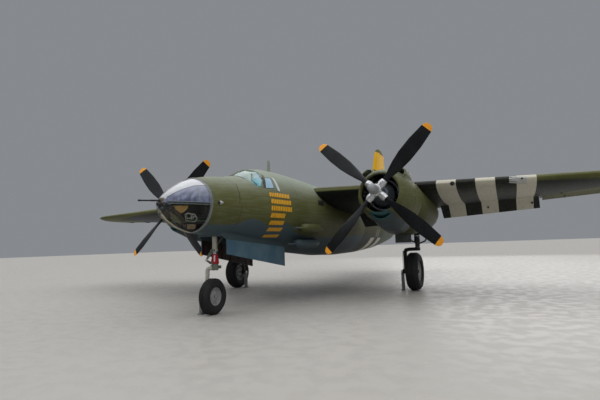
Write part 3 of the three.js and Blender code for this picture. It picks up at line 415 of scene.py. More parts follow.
def dressed(name, node, materials, degrees=30, round_hull=0.0, body="airframe", slot="olive_skin"):
    """The CAD node's own shape, shaded smooth. Where round_hull gives an edge length, its long faces
    are divided and its outer corners set on the true curve of the hull."""
    copy = welded(node)
    for _ in range(4 if round_hull else 0):
        long_edges = [e for e in copy.edges if e.calc_length() > round_hull]
        if not long_edges:
            break
        bmesh.ops.subdivide_edges(copy, edges=long_edges, cuts=1)
        bmesh.ops.triangulate(copy, faces=[f for f in copy.faces if len(f.verts) > 3])
    for corner in copy.verts if round_hull else ():
        station = corner.co.y + MID_LENGTH
        if not HULL[0][0] <= station <= HULL[-1][0] + 0.001:
            continue
        half, middle, reach = hull_oval(station, corner.co.z)
        off = hypot(corner.co.x / half, (corner.co.z - middle) / reach)
        if 0.9905 < off < 1.0005:
            corner.co.x /= off
            corner.co.z = middle + (corner.co.z - middle) / off
    if round_hull:
        bmesh.ops.dissolve_degenerate(copy, dist=0.0002, edges=copy.edges)
        bmesh.ops.triangulate(copy, faces=[f for f in copy.faces if len(f.verts) > 3])
        groups = {}
        for face in copy.faces:
            groups.setdefault(frozenset(face.verts), []).append(face)
        twins = [face for group in groups.values() if len(group) > 1 for face in group]
        bmesh.ops.delete(copy, geom=twins, context="FACES")
    mesh = bpy.data.meshes.new(name)
    copy.to_mesh(mesh)
    copy.free()
    smooth(mesh, degrees)
    return shown(name, mesh, materials, [node], body, slot)


dressed("forward_skin", "forward_fuselage", [hull_paint], 25, 0.22)
dressed("centre_skin", "centre_fuselage", [hull_paint], 25, 0.3)
dressed("rear_skin", "rear_fuselage", [tail_paint], 25, 0.3)


def spoke(angle, radius=1, y=0):
    """A point of a circle that faces along y."""
    return vec(cos(angle) * radius, y, sin(angle) * radius)


class Bench:
    """Gathers simple closed solids into one mesh. finish picks one of the piece's materials."""

    def __init__(self):
        self.work = bmesh.new()

    def skin(self, first, second, finish):
        if len(first) == 1 or len(second) == 1:
            tip, ring = (first[0], second) if len(first) == 1 else (second[0], first)
            faces = [(tip, ring[i - 1], ring[i]) for i in range(len(ring))]
        else:
            faces = [(first[i - 1], first[i], second[i], second[i - 1]) for i in range(len(first))]
        for corners in faces:
            self.work.faces.new(corners).material_index = finish

    def loft(self, rings, finish=0, closed=False):
        """Skins rings of points. A ring of one point is a pole; closed joins the last to the first."""
        made = [[self.work.verts.new(p) for p in ring] for ring in rings]
        for i in range(len(made) if closed else len(made) - 1):
            kind = finish[i] if isinstance(finish, (list, tuple)) else finish
            self.skin(made[i], made[(i + 1) % len(made)], kind)
        if not closed:
            for ring, kind in ((made[0], 0), (made[-1], -1)):
                if len(ring) > 2:
                    end = finish[kind] if isinstance(finish, (list, tuple)) else finish
                    self.work.faces.new(ring).material_index = end
        return self

    def turned(self, centre, axis, profile, sides=48, finish=0, closed=False):
        """A turned solid: the profile's columns are radius and distance along the axis."""
        along = Vector(axis).normalized()
        across = along.orthogonal().normalized()
        other = along.cross(across)
        rings = []
        for radius, far in profile:
            middle = Vector(centre) + along * far
            count = sides if radius > 0 else 1
            rings.append([middle + (across * cos(i / count * tau) + other * sin(i / count * tau)) * radius
                for i in range(count)])
        return self.loft(rings, finish, closed)

    def bar(self, start, end, radius, end_radius=None, sides=20, finish=0):
        start, end = Vector(start), Vector(end)
        last = radius if end_radius is None else end_radius
        return self.turned(start, end - start, [(radius, 0), (last, (end - start).length)], sides, finish)

    def block(self, low, high, finish=0, turn=None):
        """A box between two corners, turned by a matrix about its centre."""
        low, high = Vector(low), Vector(high)
        middle = (low + high) / 2
        half = (high - low) / 2
        rings = []
        for z in (-1, 1):
            ring = [vec(x * half.x, y * half.y, z * half.z) for x, y in ((-1, -1), (1, -1), (1, 1), (-1, 1))]
            rings.append([middle + (turn @ p if turn else p) for p in ring])
        return self.loft(rings, finish)

    def strap(self, points, outs, width, thick, finish=0, closed=False):
        """A flat strip bent along points; outs are the directions straight out of what it lies on."""
        rings = []
        count = len(points)
        for i, (point, out) in enumerate(zip(points, outs)):
            before = points[i - 1] if i or closed else points[i]
            after = points[(i + 1) % count] if i < count - 1 or closed else points[i]
            sideways = (after - before).cross(out).normalized() * (width / 2)
            rings.append([point - sideways - out * thick / 2, point + sideways - out * thick / 2,
                point + sideways + out * thick / 2, point - sideways + out * thick / 2])
        return self.loft(rings, finish, closed)

    def tapes(self, rows, *sizes):
        """A strip along each row of (point, outward direction)."""
        for row in rows:
            self.strap([point for point, _ in row], [out for _, out in row], *sizes)

    def mesh(self, name, degrees=35):
        bmesh.ops.recalc_face_normals(self.work, faces=self.work.faces)
        mesh = bpy.data.meshes.new(name)
        self.work.to_mesh(mesh)
        self.work.free()
        smooth(mesh, degrees)
        return mesh

    def shown(self, name, degrees, *given, **places):
        return shown(name, self.mesh(name, degrees), *given, **places)

# Rivets, tally strokes and other fittings of the skin. The rivets run in rows along the ring frames
# and stringers; one tree of nodes sets a head or a stroke at each step along the drawn rows.
def row_tree(name, inputs, shape, by_count=False):
    """A tree with named inputs that sets copies of a shape along each row of a mesh, standing on the
    skin. shape adds its nodes and returns the shape's output and the turn of each copy."""
    tree = bpy.data.node_groups.new(name, "GeometryNodeTree")
    tree.interface.new_socket("Geometry", in_out="INPUT", socket_type="NodeSocketGeometry")
    for label, value in inputs.items():
        kind = "NodeSocketInt" if isinstance(value, int) else "NodeSocketFloat"
        tree.interface.new_socket(label, in_out="INPUT", socket_type=kind).default_value = value
    tree.interface.new_socket("Finish", in_out="INPUT", socket_type="NodeSocketMaterial")
    tree.interface.new_socket("Geometry", in_out="OUTPUT", socket_type="NodeSocketGeometry")
    given = tree.nodes.new("NodeGroupInput").outputs
    rows = step(tree, "GeometryNodeMeshToCurve", {"Mesh": given["Geometry"]})
    pace = "Count" if by_count else "Spacing"
    rows = step(tree, "GeometryNodeResampleCurve", {"Curve": rows.outputs[0],
        "Count" if by_count else "Length": given[pace]}, mode="COUNT" if by_count else "LENGTH")
    out = step(tree, "GeometryNodeInputNamedAttribute", {"Name": "out"}, data_type="FLOAT_VECTOR")
    head, turn = shape(tree, given, out.outputs["Attribute"])
    copies = step(tree, "GeometryNodeInstanceOnPoints", {"Points": rows.outputs[0], "Instance": head,
        "Rotation": turn})
    solid = step(tree, "GeometryNodeRealizeInstances", {"Geometry": copies.outputs[0]})
    done = step(tree, "GeometryNodeSetMaterial", {"Geometry": solid.outputs[0], "Material": given["Finish"]})
    step(tree, "NodeGroupOutput", {"Geometry": done.outputs[0]})
    return tree


def domed_head(tree, given, out):
    cone = step(tree, "GeometryNodeMeshCone", {"Vertices": 6, "Side Segments": 1,
        "Radius Bottom": given["Head radius"], "Radius Top": Field(given["Head radius"]) * 0.55,
        "Depth": given["Head height"]})
    turn = step(tree, "FunctionNodeAlignRotationToVector", {"Vector": out}, axis="Z")
    return cone.outputs["Mesh"], turn.outputs[0]


def slanted_block(tree, given, out):
    """A flat block lying on the skin, its length along the row and its height leaning by the slant."""
    size = step(tree, "ShaderNodeCombineXYZ", {0: given["Width"], 1: given["Height"], 2: given["Thickness"]})
    block = step(tree, "GeometryNodeMeshCube", {"Size": size.outputs[0]})
    along = step(tree, "GeometryNodeInputTangent", {}).outputs[0]
    turn = step(tree, "FunctionNodeAxesToRotation", {"Primary Axis": out, "Secondary Axis": along},
        primary_axis="Z", secondary_axis="X")
    lean = step(tree, "ShaderNodeCombineXYZ", {2: given["Slant"]})
    leant = step(tree, "FunctionNodeRotateRotation", {"Rotation": turn.outputs[0],
        "Rotate By": lean.outputs[0]}, rotation_space="LOCAL")
    return block.outputs["Mesh"], leant.outputs[0]


rivet_tree = row_tree("rivet_rows", {"Spacing": 0.06, "Head radius": 0.0055, "Head height": 0.0018},
    domed_head)
stroke_tree = row_tree("stroke_rows", {"Count": 12, "Width": 0.05, "Height": 0.11, "Thickness": 0.004,
    "Slant": 0.0}, slanted_block, by_count=True)


def laid_rows(name, tree, rows, finish, body="airframe", slot="olive_skin", **sizes):
    """Runs a tree over rows of (point, outward direction) and keeps the plain mesh that it makes."""
    points = [point for row in rows for point, _ in row]
    edges = []
    first = 0
    for row in rows:
        edges += [(i, i + 1) for i in range(first, first + len(row) - 1)]
        first += len(row)
    mesh = bpy.data.meshes.new(name + "_rows")
    mesh.from_pydata(points, edges, [])
    outs = mesh.attributes.new("out", "FLOAT_VECTOR", "POINT")
    outs.data.foreach_set("vector", [c for row in rows for _, out in row for c in out])
    rows_piece = placed(name + "_rows", mesh)
    modifier = rows_piece.modifiers.new("rows", "NODES")
    modifier.node_group = tree
    sizes = {label.replace("_", " "): value for label, value in sizes.items()}
    for item in tree.interface.items_tree:
        if item.in_out == "INPUT" and item.name in sizes:
            modifier[item.identifier] = sizes[item.name]
        if item.in_out == "INPUT" and item.name == "Finish":
            modifier[item.identifier] = finish
    ready = rows_piece.evaluated_get(bpy.context.evaluated_depsgraph_get())
    made = bpy.data.meshes.new_from_object(ready)
    made.name = name
    rows_piece.modifiers.remove(modifier)
    bpy.data.objects.remove(rows_piece)
    shown(name, made, () if made.materials else [finish], body=body, slot=slot)


def hull_line(stations, angles, lift=-0.0004, count=24):
    """A row over the hull from the first station and angle to the last."""
    row = []
    for i in range(count + 1):
        station = stations[0] + (stations[1] - stations[0]) * i / count
        degrees = angles[0] + (angles[1] - angles[0]) * i / count
        row.append((hull_point(station, degrees, lift), hull_out(station, degrees)))
    return row


rivet_paint = painted("rivet_olive", wavy_edge, bleached_skylit_top=(2.75, 3.5, 0, 0.8), low_shade_heights=(1.3, 2.9, 0.75, 0.35))
# Ring frames: station, the angles between which the row runs on each side (the same at both).
RING_FRAMES = [(1.12, -84, 84), (1.5, -80, 84), (1.86, -80, 84), (2.2, -50, 74), (2.62, -50, 30),
    (3.6, -50, 82), (4.05, -50, 86), (4.6, -84, 86), (5.15, -84, 86), (5.7, -84, 86)]
REAR_FRAMES = [9.7, 10.35, 11, 11.7, 12.4, 13.1, 13.8, 14.5, 15.1, 15.7]
rows = []
for station, low, high in RING_FRAMES:
    for side in (1, -1):
        angles = (low, high) if side > 0 else (180 - low, 180 - high)
        rows.append(hull_line((station, station), angles))
        rows.append(hull_line((station + 0.03, station + 0.03), angles))
for station in REAR_FRAMES:
    for angles in ((-84, 78), (264, 102)):
        rows.append(hull_line((station, station), angles))
for side in (1, -1):
    for degrees in (52, 14, -30):
        for first, last in ((1.12, 2.3), (3.7, 5.75), (9.75, 16.2)):
            angle = degrees if side > 0 else 180 - degrees
            if not (degrees == -30 and first == 3.7):
                rows.append(hull_line((first, last), (angle, angle), count=60))
laid_rows("hull_rivets", rivet_tree, rows, rivet_paint)

tip_yellow = plain_finish("tip_yellow", (0.86, 0.36, 0.015), (0.78, 0.3, 0.03), 0.45, scale=9)
# Tally of missions on the port flank: rows of slanted strokes in chrome yellow, one for each flight.
tally_yellow = plain_finish("tally_yellow", (0.86, 0.43, 0.008), (0.66, 0.31, 0.02), 0.5, scale=14)
# Rows: height of their middle, first and last station, strokes, and how far the strokes lean, in degrees.
TALLY = [(2.865, 2.91, 3.77, 12, -18), (2.69, 2.92, 3.79, 12, -18), (2.51, 2.9, 3.8, 12, -8),
    (2.328, 2.9, 3.5, 10, -16), (2.145, 2.94, 3.52, 10, -20), (1.98, 3.01, 3.58, 10, -16),
    (1.815, 3.09, 3.66, 10, -4)]
for number, (height, first, last, count, lean) in enumerate(TALLY):
    row = []
    for i in range(25):
        station = first + 0.03 + (last - first - 0.06) * i / 24
        spot = hull_side(station, height, 0.0015)
        row.append((spot, flank_out(spot)))
    laid_rows(f"tally_row_{number + 1}", stroke_tree, [row], tally_yellow, Count=count,
        Width=(last - first) / count * 0.74, Height=0.122, Thickness=0.005, Slant=radians(lean))

# Small fittings: recognition light in a teardrop, cooling louvres below the wing root, seam straps.
pale_metal = plain_finish("pale_metal", (0.5, 0.5, 0.46), (0.36, 0.37, 0.34), 0.4, 0.3, scale=14)
dark_metal = plain_finish("dark_metal", (0.014, 0.016, 0.02), (0.035, 0.038, 0.042), 0.45, 0.3, scale=9)


def hull_strap(bench, stations, angles, width, thick, finish=0, count=24, lift=0.0):
    row = hull_line(stations, angles, lift, count)
    bench.strap([spot for spot, _ in row], [out for _, out in row], width, thick, finish)


bench = Bench()
light = hull_side(1.245, 2.55, 0.006)
flow = (hull_side(1.4, 2.55) - hull_side(1.1, 2.55)).normalized()
bench.turned(light - flow * 0.075, flow, [(0, 0), (0.022, 0.006), (0.034, 0.02), (0.041, 0.035)], 20, 1)
bench.turned(light - flow * 0.041, flow, [(0, 0), (0.042, 0), (0.043, 0.03), (0.036, 0.065), (0.02, 0.1),
    (0, 0.12)], 20, 0)
for slat in range(5):
    station = 5.36 + slat * 0.075
    points = [hull_side(station + step_up * 0.02, 2.74 + step_up * 0.028, 0.004) for step_up in range(6)]
    bench.strap(points, [vec(1, 0, 0.2).normalized()] * 6, 0.045, 0.018, 1)
hull_strap(bench, (1.95, 1.86), (47, 29), 0.012, 0.004, 1)
hull_strap(bench, (1.86, 1.8), (29, 3), 0.012, 0.004, 1)
for side in (1, -1):
    angles = (-58, -64) if side > 0 else (238, 244)
    hull_strap(bench, (1.953, 3.15), angles, 0.01, 0.004, 1)
bench.turned(hull_point(13.95, -20, -0.03), (0, 1, 0), [(0, -0.16), (0.05, -0.12), (0.08, -0.04),
    (0.085, 0.05), (0.06, 0.14), (0, 0.2)], 24, 1)
bench.shown("hull_fittings", 40, [pale_metal, dark_metal])

# GLAZING. Blown clear plastic screwed into pale alloy frames: the nose in a top cap, a bluish upper
# shell and a clear lower one, parted by a bar at gun height; the windscreen and side windows behind.
def clear_plastic(name, zones, roughness=0.05):
    """Clear plastic that shines at a glancing angle. zones adds the tints: from the place it
    gives back a colour and how opaque the sheet is when seen straight on."""
    material, shader, place = new_finish(name, roughness, specular=0.5)
    x, y, z = split(place)
    colour, solidity = zones(place, x, y, z)
    weight = step(place.tree, "ShaderNodeLayerWeight", {"Blend": 0.3})
    glancing = spread(Field(weight.outputs["Facing"]), 0.55, 1.0, 0.0, 0.5)
    haze = mottle(place, 7, 5.0)
    wire(mix(haze * 0.18, colour, (0.3, 0.33, 0.34)), shader.inputs["Base Color"])
    wire(glancing * (1.0 - solidity) + solidity, shader.inputs["Alpha"])
    material.surface_render_method = "BLENDED"
    return material


def nose_zones(place, x, y, z):
    """A milk-white cap between the two rivet rows that brightens towards its top as painted glare, a bluish
    shell down to the bar painted as the sky's reflection, paler higher up, and clear dark below it.
    """
    edge = y * 0.419 + 3.55 - reckon("ABSOLUTE", x)
    cap = spread(edge, -0.006, 0.006) * spread(z, 2.59, 2.61)
    upper = spread(z, 2.5, 2.53)
    cloud = mottle(stretched(place, (6, 1.2, 2)), 2.6, 4.0, 0.38, 0.62)
    # Painted reflection: the shell's blue stands for the sky mirrored in it, mottled like clouds and paler
    # higher up.
    sky = mix(cloud, (0.075, 0.085, 0.165), (0.205, 0.23, 0.36))
    sky = mix(spread(z, 2.62, 3.02), sky, (0.4, 0.43, 0.55))
    # Painted glare: the cap's white brightens towards its top.
    milky_with_glare = mix(spread(z, 2.6, 3.0), (0.38, 0.39, 0.41), (0.6, 0.61, 0.64))
    colour = mix(upper, (0.01, 0.013, 0.01), sky)
    colour = mix(cap, colour, milky_with_glare)
    solidity = upper * 0.62 + 0.16
    return (colour, spread(cap, 0.0, 1.0, solidity, 0.92, "LINEAR"))


def cabin_zones(place, x, y, z):
    """Bright cyan from the sky light behind, paler towards the roof."""
    cloud = mottle(stretched(place, (3, 3, 2)), 2.0, 4.0, 0.35, 0.65)
    low = mix(cloud, (0.035, 0.25, 0.31), (0.12, 0.45, 0.52))
    pale = mix(cloud, (0.17, 0.27, 0.24), (0.27, 0.36, 0.32))
    aft = spread(y, -5.56, -5.48)
    low = mix(aft, low, (0.2, 0.38, 0.52))
    roofward = (y + 5.5) * -0.55 + z
    return (mix(spread(roofward, 3.26, 3.46), low, pale), 0.84)


def turret_zones(place, x, y, z):
    return ((0.1, 0.14, 0.14), 0.42)


nose_plastic = clear_plastic("nose_plastic", nose_zones)
cabin_glass = clear_plastic("cabin_glass", cabin_zones)
turret_plastic = clear_plastic("turret_plastic", turret_zones)
dressed("nose_dome", "nose_glazing", [nose_plastic], 40, 0.09, slot="glazing")
for side in SIDES:
    dressed(f"windscreen_pane_{side}", f"windscreen_{side}", [cabin_glass], 30, slot="glazing")

# Nose frames: the rim hoop, the bar at gun height, a thin upright seam and its brace, rows of screws
# along the cap's edges. The rim is cream tape over an alloy hoop.
rim_pale = plain_finish("rim_pale", (0.27, 0.29, 0.27), (0.19, 0.2, 0.19), 0.45, 0.1, scale=10)
tape_cream = plain_finish("tape_cream", (0.46, 0.43, 0.3), (0.32, 0.29, 0.2), 0.6, scale=12)
bar_blue = plain_finish("bar_blue", (0.022, 0.036, 0.046), (0.05, 0.07, 0.08), 0.35, 0.3, scale=10)
screw_dark = plain_finish("screw_dark", (0.02, 0.022, 0.028), (0.045, 0.048, 0.055), 0.5, 0.4, scale=30)
frames = Bench()
RIM_STEPS = 72
for station, width, lift in ((1.03, 0.044, 0.003), (0.985, 0.01, 0.004)):
    ring = [hull_point(station, i * 360 / RIM_STEPS, lift) for i in range(RIM_STEPS)]
    outs = [hull_out(station, i * 360 / RIM_STEPS) for i in range(RIM_STEPS)]
    frames.strap(ring, outs, width, 0.008, 0, closed=True)
CAP_EDGE = [(0.191, 58), (0.276, 57.4), (0.42, 54.5), (0.516, 52.7), (0.619, 51.8), (0.707, 49.7),
    (0.797, 47.7), (0.895, 44.3), (0.975, 42)]
UPRIGHT_SEAM = [(0.794, 41.8), (0.765, 32), (0.735, 22.3), (0.727, 13), (0.721, 4.3)]
BRACE = [(0.923, 21.6), (0.817, 13.6), (0.711, 5.8)]


def both_sides(way):
    for side in (1, -1):
        yield [(s, d if side > 0 else 180 - d) for s, d in way]


def way_strap(bench, way, width, thick, finish, lift=0.0):
    bench.strap([hull_point(s, d, lift) for s, d in way], [hull_out(s, d) for s, d in way], width, thick,
        finish)


screw_rows = []
for way in both_sides(CAP_EDGE):
    fine_way = [(s0 + (s1 - s0) * i / 6, d0 + (d1 - d0) * i / 6) for (s0, d0),
        (s1, d1) in zip(way, way[1:]) for i in range(6)]
    screw_rows.append([(hull_point(s, d, 0.001), hull_out(s, d)) for s, d in fine_way])
for way in both_sides(UPRIGHT_SEAM):
    way_strap(frames, way, 0.015, 0.006, 0, 0.003)
for way in both_sides(BRACE):
    way_strap(frames, way, 0.007, 0.006, 0, 0.004)
way_strap(frames, [(0.13 + i * 0.085, -90) for i in range(11)], 0.05, 0.008, 2, 0.003)
for side in (1, -1):
    for height, width, finish, lift in ((2.517, 0.04, 1, 0.004), (2.54, 0.009, 0, 0.008),
        (2.49, 0.006, 0, 0.006)):
        stations = [0.145 + (0.965 - 0.145) * i / 26 for i in range(27)]
        line = [hull_side(s, height, lift, side) for s in stations]
        frames.strap(line, [hull_out(s, 0 if side > 0 else 180) for s in stations], width, 0.01, finish)
    # Studs stand on the bar.
    for i in range(9):
        spot = hull_side(0.2 + i * 0.088, 2.517, 0.007, side)
        frames.turned(spot, (side, 0, 0), [(0, 0), (0.006, 0), (0.004, 0.006), (0, 0.007)], 8, 0)
frames.turned(hull_point(0.135, 0, -0.135) + vec(0, -0.02, 0), (0, -1, 0), [(0.06, -0.03), (0.098, -0.03),
    (0.095, 0), (0.085, 0.012), (0.06, 0.012)], 32, 1, closed=True)
frames.shown("nose_frames", 40, [rim_pale, bar_blue, tape_cream], slot="glazing")
screw_rows.append([(hull_point(1.035, d, 0.008), hull_out(1.035, d)) for d in range(0, 361, 4)])
laid_rows("nose_screws", rivet_tree, screw_rows, screw_dark, slot="glazing", Spacing=0.046,
    Head_radius=0.0145, Head_height=0.006)

# Inside the nose: the bomb aimer's tan kneeling pad, the pale sight frame and its box, the padded boot
# round the gun and the ammunition chute. They stand just inside the plastic.
pad_leather = plain_finish("pad_leather", (0.52, 0.31, 0.075), (0.34, 0.19, 0.05), 0.6, scale=11,
    depth=0.002)
boot_brown = plain_finish("boot_brown", (0.04, 0.028, 0.016), (0.1, 0.075, 0.05), 0.7, scale=14, depth=0.003)
ball_bronze = plain_finish("ball_bronze", (0.06, 0.044, 0.022), (0.13, 0.1, 0.06), 0.5, 0.3, scale=20)
box_tan = plain_finish("box_tan", (0.4, 0.29, 0.16), (0.25, 0.18, 0.1), 0.6, scale=12)
lining = plain_finish("lining", (0.2, 0.2, 0.12), (0.12, 0.12, 0.07), 0.7, scale=8)
sight_pale = plain_finish("sight_pale", (0.5, 0.52, 0.46), (0.3, 0.32, 0.28), 0.5, 0.2, scale=12)
inside = Bench()


def shrunk(outline, share, depth):
    """An outline given on the dome, drawn in towards its middle and moved inside the dome."""
    middle = [sum(part) / len(outline) for part in zip(*outline)]
    return [hull_point(middle[0] + (s - middle[0]) * share, middle[1] + (d - middle[1]) * share, depth)
        for s, d in outline]


def inner_plate(bench, outline, depth, thick, finish):
    """A curved plate whose outline is given on the dome, standing a little inside it."""
    deep = depth + thick
    for outer, inner in ((1, 0.66), (0.66, 0.33)):
        rings = [(outer, depth), (outer, deep), (inner, deep), (inner, depth)]
        bench.loft([shrunk(outline, *ring) for ring in rings], finish, closed=True)
    bench.loft([shrunk(outline, 0.33, depth), shrunk(outline, 0.33, deep)], finish)


PAD_EDGE = [(0.259, -7.5), (0.39, -7.8), (0.52, -8.4), (0.515, -15.0), (0.49, -22.0), (0.455, -29.0),
    (0.422, -33.9), (0.375, -32.0), (0.33, -27.0), (0.29, -18.0)]
inner_plate(inside, PAD_EDGE, -0.075, 0.03, 0)
SIGHT_EDGE = [(0.516, -35.6), (0.565, -30.0), (0.721, -31.3), (0.808, -39.9), (0.823, -50.8), (0.62, -56.0)]
for depth, shrink in ((-0.07, 1.0), (-0.11, 0.62)):
    corners = shrunk(SIGHT_EDGE, shrink, depth)
    for i in range(6):
        inside.bar(corners[i - 1], corners[i], 0.009, sides=8, finish=2)
inside.bar(hull_point(0.66, -36, -0.075), hull_point(0.74, -50, -0.1), 0.012, sides=8, finish=2)
inside.bar(hull_point(0.62, -50, -0.08), hull_point(0.78, -38, -0.1), 0.01, sides=8, finish=2)
inner_plate(inside, [(0.7, -66), (0.87, -60), (0.95, -72), (0.8, -80)], -0.065, 0.04, 3)
inner_plate(inside, [(0.2, -45), (0.36, -50), (0.6, -66), (0.66, -84), (0.42, -86), (0.24, -80)], -0.1, 0.02,
    4)
chute = [hull_point(0.222 + (0.712 - 0.222) * i / 10, -25 - 54 * (i / 10) ** 1.2, -0.045) for i in range(11)]
inside.strap(chute, [hull_out(0.25 + 0.045 * i, -30 - 4.5 * i) for i in range(11)], 0.075, 0.02, 1)
inside.turned(hull_point(0.2, -60, -0.16), (0, 0.6, -0.8), [(0, -0.05), (0.075, -0.02), (0.09, 0.04),
    (0.07, 0.12), (0.045, 0.2), (0, 0.21)], 20, 1)
inside.shown("nose_fittings", 35, [pad_leather, boot_brown, sight_pale, box_tan, lining], slot="glazing")

# The nose tube: a plain blued rod in a bronze ball let into the cap, with a closed box behind it.
bluing = plain_finish("bluing", (0.012, 0.013, 0.015), (0.035, 0.037, 0.04), 0.34, 0.6, scale=24)
tube = Bench()
TUBE_TIP = vec(0, -8.878, 2.5196)
TUBE_WAY = vec(0, 1.178, 0.0854).normalized()
tube.turned(TUBE_TIP, TUBE_WAY, [(0, 0), (0.019, 0.002), (0.019, 0.05), (0.016, 0.055), (0.016, 0.3),
    (0.02, 0.32), (0.02, 0.52), (0.032, 0.535), (0.034, 0.56), (0.034, 0.8), (0, 0.82)], 24, 0)
BALL_RADIUS = 0.0848
ball = [(sin(i / 14 * pi) * BALL_RADIUS, -cos(i / 14 * pi) * BALL_RADIUS) for i in range(15)]
ball[0], ball[-1] = ((0, -BALL_RADIUS), (0, BALL_RADIUS))
tube.turned((0, -8.25, 2.545), TUBE_WAY, ball, 32, 1)
tube.block((-0.045, -8.1, 2.545), (0.045, -7.52, 2.66), 0)
tube.block((-0.06, -7.9, 2.6), (0.03, -7.72, 2.672), 0)
for sign in (1, -1):
    tube.bar((sign * 0.035, -7.56, 2.57), (sign * 0.035, -7.505, 2.53), 0.013, sides=12, finish=2)
tube.shown("nose_tube", 38, [bluing, ball_bronze, boot_brown], ["nose_gun"], slot="engine_iron")

# Window frames of the flight deck: pressed strips over the edges of the panes, a dark post between
# them and a bright slanting strip behind.
window_dark = plain_finish("window_dark", (0.012, 0.016, 0.012), (0.035, 0.042, 0.03), 0.5, scale=12)
window_olive = plain_finish("window_olive", (0.085, 0.095, 0.055), (0.13, 0.14, 0.09), 0.5, scale=12)
post_grey = plain_finish("post_grey", (0.045, 0.058, 0.052), (0.075, 0.09, 0.08), 0.5, scale=12)
strip_pale = plain_finish("strip_pale", (0.5, 0.54, 0.53), (0.36, 0.4, 0.38), 0.4, 0.2, scale=12)


def flank_way(bench, corners, side, width, thick, finish, lift=0.004, steps=6):
    for (s0, z0), (s1, z1) in zip(corners, corners[1:]):
        points = [hull_side(s0 + (s1 - s0) * i / steps, z0 + (z1 - z0) * i / steps, lift, side)
            for i in range(steps + 1)]
        bench.strap(points, [flank_out(point) for point in points], width, thick, finish)


WINDSCREEN_EDGE = [(2.902, 3.458), (2.62, 3.235), (2.655, 3.055), (2.751, 3.045), (3.084, 3.378),
    (3.139, 3.46)]
SIDE_EDGE = [(3.1, 3.345), (3.324, 3.348), (3.196, 3.045), (2.865, 3.031), (3.1, 3.345)]
PANE_STEPS = 8
for side, sign in SIDES.items():
    rings = []
    for i in range(PANE_STEPS + 1):
        ways = []
        for start, end in ((SIDE_EDGE[0], SIDE_EDGE[1]), (SIDE_EDGE[3], SIDE_EDGE[2])):
            ways.append([start[k] + (end[k] - start[k]) * i / PANE_STEPS for k in (0, 1)])
        spots = [[ways[0][k] + (ways[1][k] - ways[0][k]) * j / PANE_STEPS for k in (0, 1)]
            for j in range(PANE_STEPS + 1)]
        rings.append([hull_side(s, z, 0.0035, sign) for s, z in spots] + [hull_side(s, z, -0.002, sign)
            for s, z in reversed(spots)])
    pane = Bench()
    pane.loft(rings)
    pane.shown(f"side_pane_{side}", 30, [cabin_glass], [f"side_window_{side}"], slot="glazing")
canopy = Bench()
for side in (1, -1):
    flank_way(canopy, WINDSCREEN_EDGE, side, 0.014, 0.01, 1)
    flank_way(canopy, SIDE_EDGE, side, 0.007, 0.008, 0)
    flank_way(canopy, [(2.81, 3.04), (3.125, 3.4)], side, 0.03, 0.016, 3)
    flank_way(canopy, [(3.355, 2.985), (3.4, 3.19), (3.445, 3.37)], side, 0.115, 0.01, 2, 0.005)
hull_strap(canopy, (2.5, 2.5), (60, 120), 0.03, 0.01, 0)
hull_strap(canopy, (2.5, 3.12), (90, 90), 0.055, 0.012, 1)
canopy.shown("window_frames", 40, [window_dark, window_olive, strip_pale, post_grey])

# Dorsal turret and tail position: domes of the same plastic in light alloy ribs.
dressed("turret_dome", "dorsal_turret", [turret_plastic], 30, body="dorsal_turret", slot="glazing")
dressed("tail_glazing", "tail_position", [turret_plastic], 30, slot="glazing")

# WING. Two-spar wing with stressed skin; metal flaps and fabric-covered ailerons hang on brackets
# behind the rear spar. Recognition bands are painted round the outer panel, white first.
PORT_BANDS = [(3.9, 4.52, SOOT), (4.52, 5.04, CHALK), (5.04, 5.54, SOOT), (5.54, 6.04, CHALK),
    (6.04, 6.56, SOOT), (6.56, 7.04, CHALK)]
STARBOARD_BANDS = [(low - 0.72, high - 0.72, colour) for low, high, colour in PORT_BANDS]


def along_wing(x, y):
    """How far out the bands count: they lean aft towards the tip."""
    out = reckon("ABSOLUTE", x)
    lean = (out - 4.0) * (y + 2.0)
    return lean * 0.012 + out


def wing_belly(y):
    """The blue-grey of the wing's underside ends at the leading edge: it lies below the chord line."""
    return y * -0.155 + 2.74


def roundel(tone, x, y, z):
    """A plain dark disc under the starboard wing, where the photo shows the edge of a round marking."""
    off_x = x + 8.1
    off_y = y + 1.0
    far = reckon("SQRT", off_x * off_x + off_y * off_y)
    disc = spread(far, 0.62, 0.63, 1.0, 0.0) * spread(facing(x)[2], -0.2, 0.0, 1.0, 0.0)
    return mix(disc, tone, (0.02, 0.028, 0.06))


# Painted shade: the wing's underside is near-black, far darker than the hull's blue-grey, standing for the
# deep shade under the wing.
UNDERSIDE_SHADED = ((0.012, 0.015, 0.016), (0.026, 0.032, 0.03))
wing_paint = painted("wing_olive", wing_belly, PORT_BANDS, along_wing, panels=(1.1, 0.8),
    belly_grey=UNDERSIDE_SHADED)
starboard_wing_paint = painted("wing_olive_starboard", wing_belly, STARBOARD_BANDS, along_wing,
    panels=(1.1, 0.8), extra=roundel, belly_grey=UNDERSIDE_SHADED)
for side in SIDES:
    paint = wing_paint if side == "port" else starboard_wing_paint
    dressed(f"wing_skin_{side}", f"wing_{side}", [paint], 32)
    for surface in ("flap_inner", "flap_outer", "aileron"):
        dressed(f"{surface}_skin_{side}", f"{surface}_{side}", [paint], 32, body=f"{surface}_{side}")

# NACELLES AND COWLS. Formed sheet fairings under the wing, each with the wheel well cut in it, and
# ahead of it a round cowl with two ear scoops on top and the oil cooler's slate-grey chin below.
SHAFT_OUT = 3.421
SHAFT_Y = -4.444
SHAFT_Z = 2.839
SHAFT = {side: vec(sign * SHAFT_OUT, SHAFT_Y, SHAFT_Z) for side, sign in SIDES.items()}
SHAFT_TILT = radians(-4.57)
CHIN_GREY = (0.04, 0.054, 0.062)
DUCT_TEAL = (0.055, 0.125, 0.13)


def engine_place(side):
    return Matrix.Translation(SHAFT[side]) @ Matrix.Rotation(SHAFT_TILT, 4, "X")


